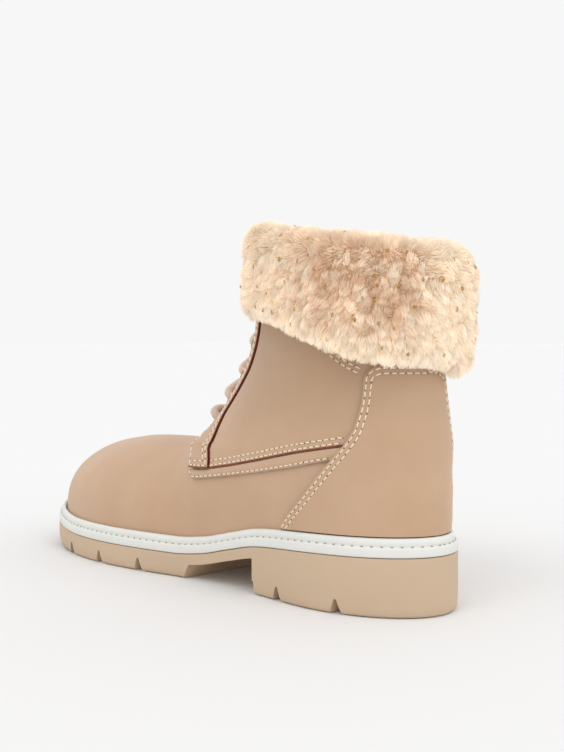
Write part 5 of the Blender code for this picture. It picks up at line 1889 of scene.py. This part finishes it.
def make_foil(grid):
    """Small dots of foil on a staggered pattern, lying in the tips of the pile."""
    size, tint = bpy.context.scene.boot_sizes, bpy.context.scene.boot_colours
    shade = tint.foil, darker(tint.foil, 0.55)
    foil = finish("gold_foil", *shade, 90, 900, 0.5, 0.30, 0.0001, Metallic=0.8)
    bpy.ops.object.select_all(action="DESELECT")
    bpy.ops.mesh.primitive_ico_sphere_add(subdivisions=1, radius=1.0)
    ball, faces = primitive_shape(bpy.context.object)
    normals = grid_face_normals(grid)
    places, looks = [], []
    columns = grid.shape[1] - 1
    middle = grid[:, int(columns * FUR_CROWN * 0.5)]
    around = distances(middle)
    for row in range(FOIL_ROWS):
        level = FUR_CROWN * (0.14 + 0.72 * row / (FOIL_ROWS - 1))
        start, end = 0.3 + 0.5 * (row % 2), around[-1] / size.foil_pitch
        for reach in np.arange(start, end) * size.foil_pitch:
            reach = reach + RNG.normal(0, 0.0012)
            if RNG.random() > FOIL_SHARE:
                continue
            i = int(np.clip(np.interp(reach, around, np.arange(len(around))), 0, len(around) - 2))
            j = int(np.clip((level + RNG.normal(0, 0.006)) * columns, 1, columns - 1))
            places.append(grid[i, j] + normals[i, j] * PILE_RISE * RNG.uniform(0.88, 1.10))
            looks.append(normals[i, j])
    places, looks = np.array(places), unit(np.array(looks) + RNG.normal(0, 0.25, (len(looks), 3)))
    fall = unit(np.array([0.0, 0.0, -1.0]) - looks * looks[:, 2:] * -1)
    beside = np.cross(looks, fall)
    basis = np.stack([beside, fall, looks], axis=1)
    scale = RNG.uniform(0.8, 1.2, (len(places), 1, 1)) * np.array(FOIL_DOT)
    points = places[:, None] + np.einsum("nvk,nkc->nvc", ball[None] * scale, basis)
    place_piece(scattered("foil_dots", points, faces, foil), "fur")


# Stage
def direction(azimuth, elevation):
    """Unit vector at an azimuth from the toe and an elevation, in radians."""
    level = math.cos(elevation)
    return Vector(
        (math.sin(azimuth) * level, -math.cos(azimuth) * level, math.sin(elevation))
    )


def make_stage():
    """A pale floor that runs into a pale background, even studio light and the camera."""
    scene = bpy.context.scene
    bpy.ops.object.select_all(action="DESELECT")
    bpy.ops.mesh.primitive_plane_add(size=40.0, location=(0.0, 0.0, -0.0002))
    floor = bpy.context.object
    floor.name = "studio_floor"
    bpy.ops.object.transform_apply(location=True, rotation=True, scale=True)
    pale = finish("studio_paper", [0.794] * 3, [0.786] * 3, 2, 40, 0.2, 0.9, 0.0)
    floor.data.materials.append(pale)
    world_light = bpy.data.worlds.new("studio")
    world_light.use_nodes = True
    back = world_light.node_tree.nodes["Background"]
    back.inputs["Color"].default_value = (0.93, 0.93, 0.93, 1.0)
    back.inputs["Strength"].default_value = 1.0
    scene.world = world_light
    for name, azimuth, elevation, strength, spread in STUDIO_LIGHTS:
        bpy.ops.object.light_add(type="SUN")
        light = bpy.context.object
        light.name = name
        light.data.energy = strength
        light.data.angle = math.radians(spread)
        source = direction(math.radians(azimuth), math.radians(elevation))
        light.rotation_euler = source.to_track_quat("Z", "Y").to_euler()
    bpy.ops.object.camera_add(location=CAMERA_PLACE)
    camera = bpy.context.object
    camera.name = "studio_camera"
    ahead = direction(-CAMERA_TURN, -CAMERA_DIP)
    camera.rotation_euler = ahead.to_track_quat("-Z", "Y").to_euler()
    camera.data.lens = CAMERA_LENS
    scene.camera = camera
    scene.view_settings.view_transform = "Standard"


# Operators, one for each piece or group of like pieces
SEAMS = []


class BOOT_OT_upper(bpy.types.Operator):
    """Model the upper: toe, vamp and shaft as one skin with its lining"""

    bl_idname = "boot.upper"
    bl_label = "Upper"

    def execute(self, context):
        make_upper_skin()
        return {"FINISHED"}


class BOOT_OT_quarters(bpy.types.Operator):
    """Model the two quarters with their lapped lower edges and collar seams"""

    bl_idname = "boot.quarters"
    bl_label = "Quarters"

    def execute(self, context):
        SEAMS.extend(make_quarter_panels())
        return {"FINISHED"}


class BOOT_OT_counter(bpy.types.Operator):
    """Model the heel counter"""

    bl_idname = "boot.counter"
    bl_label = "Heel counter"

    def execute(self, context):
        SEAMS.extend(make_counter_panel())
        return {"FINISHED"}


class BOOT_OT_strap(bpy.types.Operator):
    """Model the puffed strip under the outer quarter"""

    bl_idname = "boot.strap"
    bl_label = "Side strip"

    def execute(self, context):
        SEAMS.extend(make_side_strap())
        return {"FINISHED"}


class BOOT_OT_eyestays(bpy.types.Operator):
    """Model the eyestays with their dyed edges and punched holes"""

    bl_idname = "boot.eyestays"
    bl_label = "Eyestays"

    def execute(self, context):
        SEAMS.extend(make_eyestay_panels())
        return {"FINISHED"}


class BOOT_OT_stitches(bpy.types.Operator):
    """Sew the seams of all the panels"""

    bl_idname = "boot.stitches"
    bl_label = "Stitches"

    def execute(self, context):
        for piece in sew("stitches", np.concatenate(SEAMS)):
            place_piece(piece, "nubuck")
        return {"FINISHED"}


class BOOT_OT_tongue(bpy.types.Operator):
    """Model the padded tongue"""

    bl_idname = "boot.tongue"
    bl_label = "Tongue"

    def execute(self, context):
        make_tongue_pad()
        return {"FINISHED"}


class BOOT_OT_eyelets(bpy.types.Operator):
    """Model the metal eyelets"""

    bl_idname = "boot.eyelets"
    bl_label = "Eyelets"

    def execute(self, context):
        make_eyelets()
        return {"FINISHED"}


class BOOT_OT_lacing(bpy.types.Operator):
    """Run the round lace through the eyelets"""

    bl_idname = "boot.lacing"
    bl_label = "Lacing"

    def execute(self, context):
        make_lacing()
        return {"FINISHED"}


class BOOT_OT_sole(bpy.types.Operator):
    """Model the grooved sole, the welt and the sock lining"""

    bl_idname = "boot.sole"
    bl_label = "Sole and welt"

    def execute(self, context):
        make_tread_sole()
        make_stepped_welt()
        make_sock_lining()
        return {"FINISHED"}


class BOOT_OT_cuff(bpy.types.Operator):
    """Model the folded cuff with its pile and dots of foil"""

    bl_idname = "boot.cuff"
    bl_label = "Fur cuff"

    def execute(self, context):
        make_cuff()
        return {"FINISHED"}


class BOOT_OT_stage(bpy.types.Operator):
    """Set the floor, the studio light and the camera"""

    bl_idname = "boot.stage"
    bl_label = "Stage"

    def execute(self, context):
        make_stage()
        return {"FINISHED"}


STEPS = (
    BOOT_OT_upper,
    BOOT_OT_quarters,
    BOOT_OT_counter,
    BOOT_OT_strap,
    BOOT_OT_eyestays,
    BOOT_OT_stitches,
    BOOT_OT_tongue,
    BOOT_OT_eyelets,
    BOOT_OT_lacing,
    BOOT_OT_sole,
    BOOT_OT_cuff,
    BOOT_OT_stage,
)


class BOOT_PT_panel(bpy.types.Panel):
    """Lists the boot's sizes, colours and pieces"""

    bl_label = "Fur cuff ankle boot"
    bl_idname = "BOOT_PT_panel"
    bl_space_type = "VIEW_3D"
    bl_region_type = "UI"
    bl_category = "Boot"

    def draw(self, context):
        for group in (context.scene.boot_sizes, context.scene.boot_colours):
            for name in group.__annotations__:
                self.layout.prop(group, name)
        for step in STEPS:
            self.layout.operator(step.bl_idname)


CLASSES = (BootSizes, BootColours, *STEPS, BOOT_PT_panel)


def register():
    for made in CLASSES:
        bpy.utils.register_class(made)
    bpy.types.Scene.boot_sizes = PointerProperty(type=BootSizes)
    bpy.types.Scene.boot_colours = PointerProperty(type=BootColours)


def unregister():
    del bpy.types.Scene.boot_colours
    del bpy.types.Scene.boot_sizes
    for made in reversed(CLASSES):
        bpy.utils.unregister_class(made)


def main():
    register()
    bpy.ops.boot.upper()
    bpy.ops.boot.quarters()
    bpy.ops.boot.counter()
    bpy.ops.boot.strap()
    bpy.ops.boot.eyestays()
    bpy.ops.boot.stitches()
    bpy.ops.boot.tongue()
    bpy.ops.boot.eyelets()
    bpy.ops.boot.lacing()
    bpy.ops.boot.sole()
    bpy.ops.boot.cuff()
    bpy.ops.boot.stage()


if __name__ == "__main__":
    main()
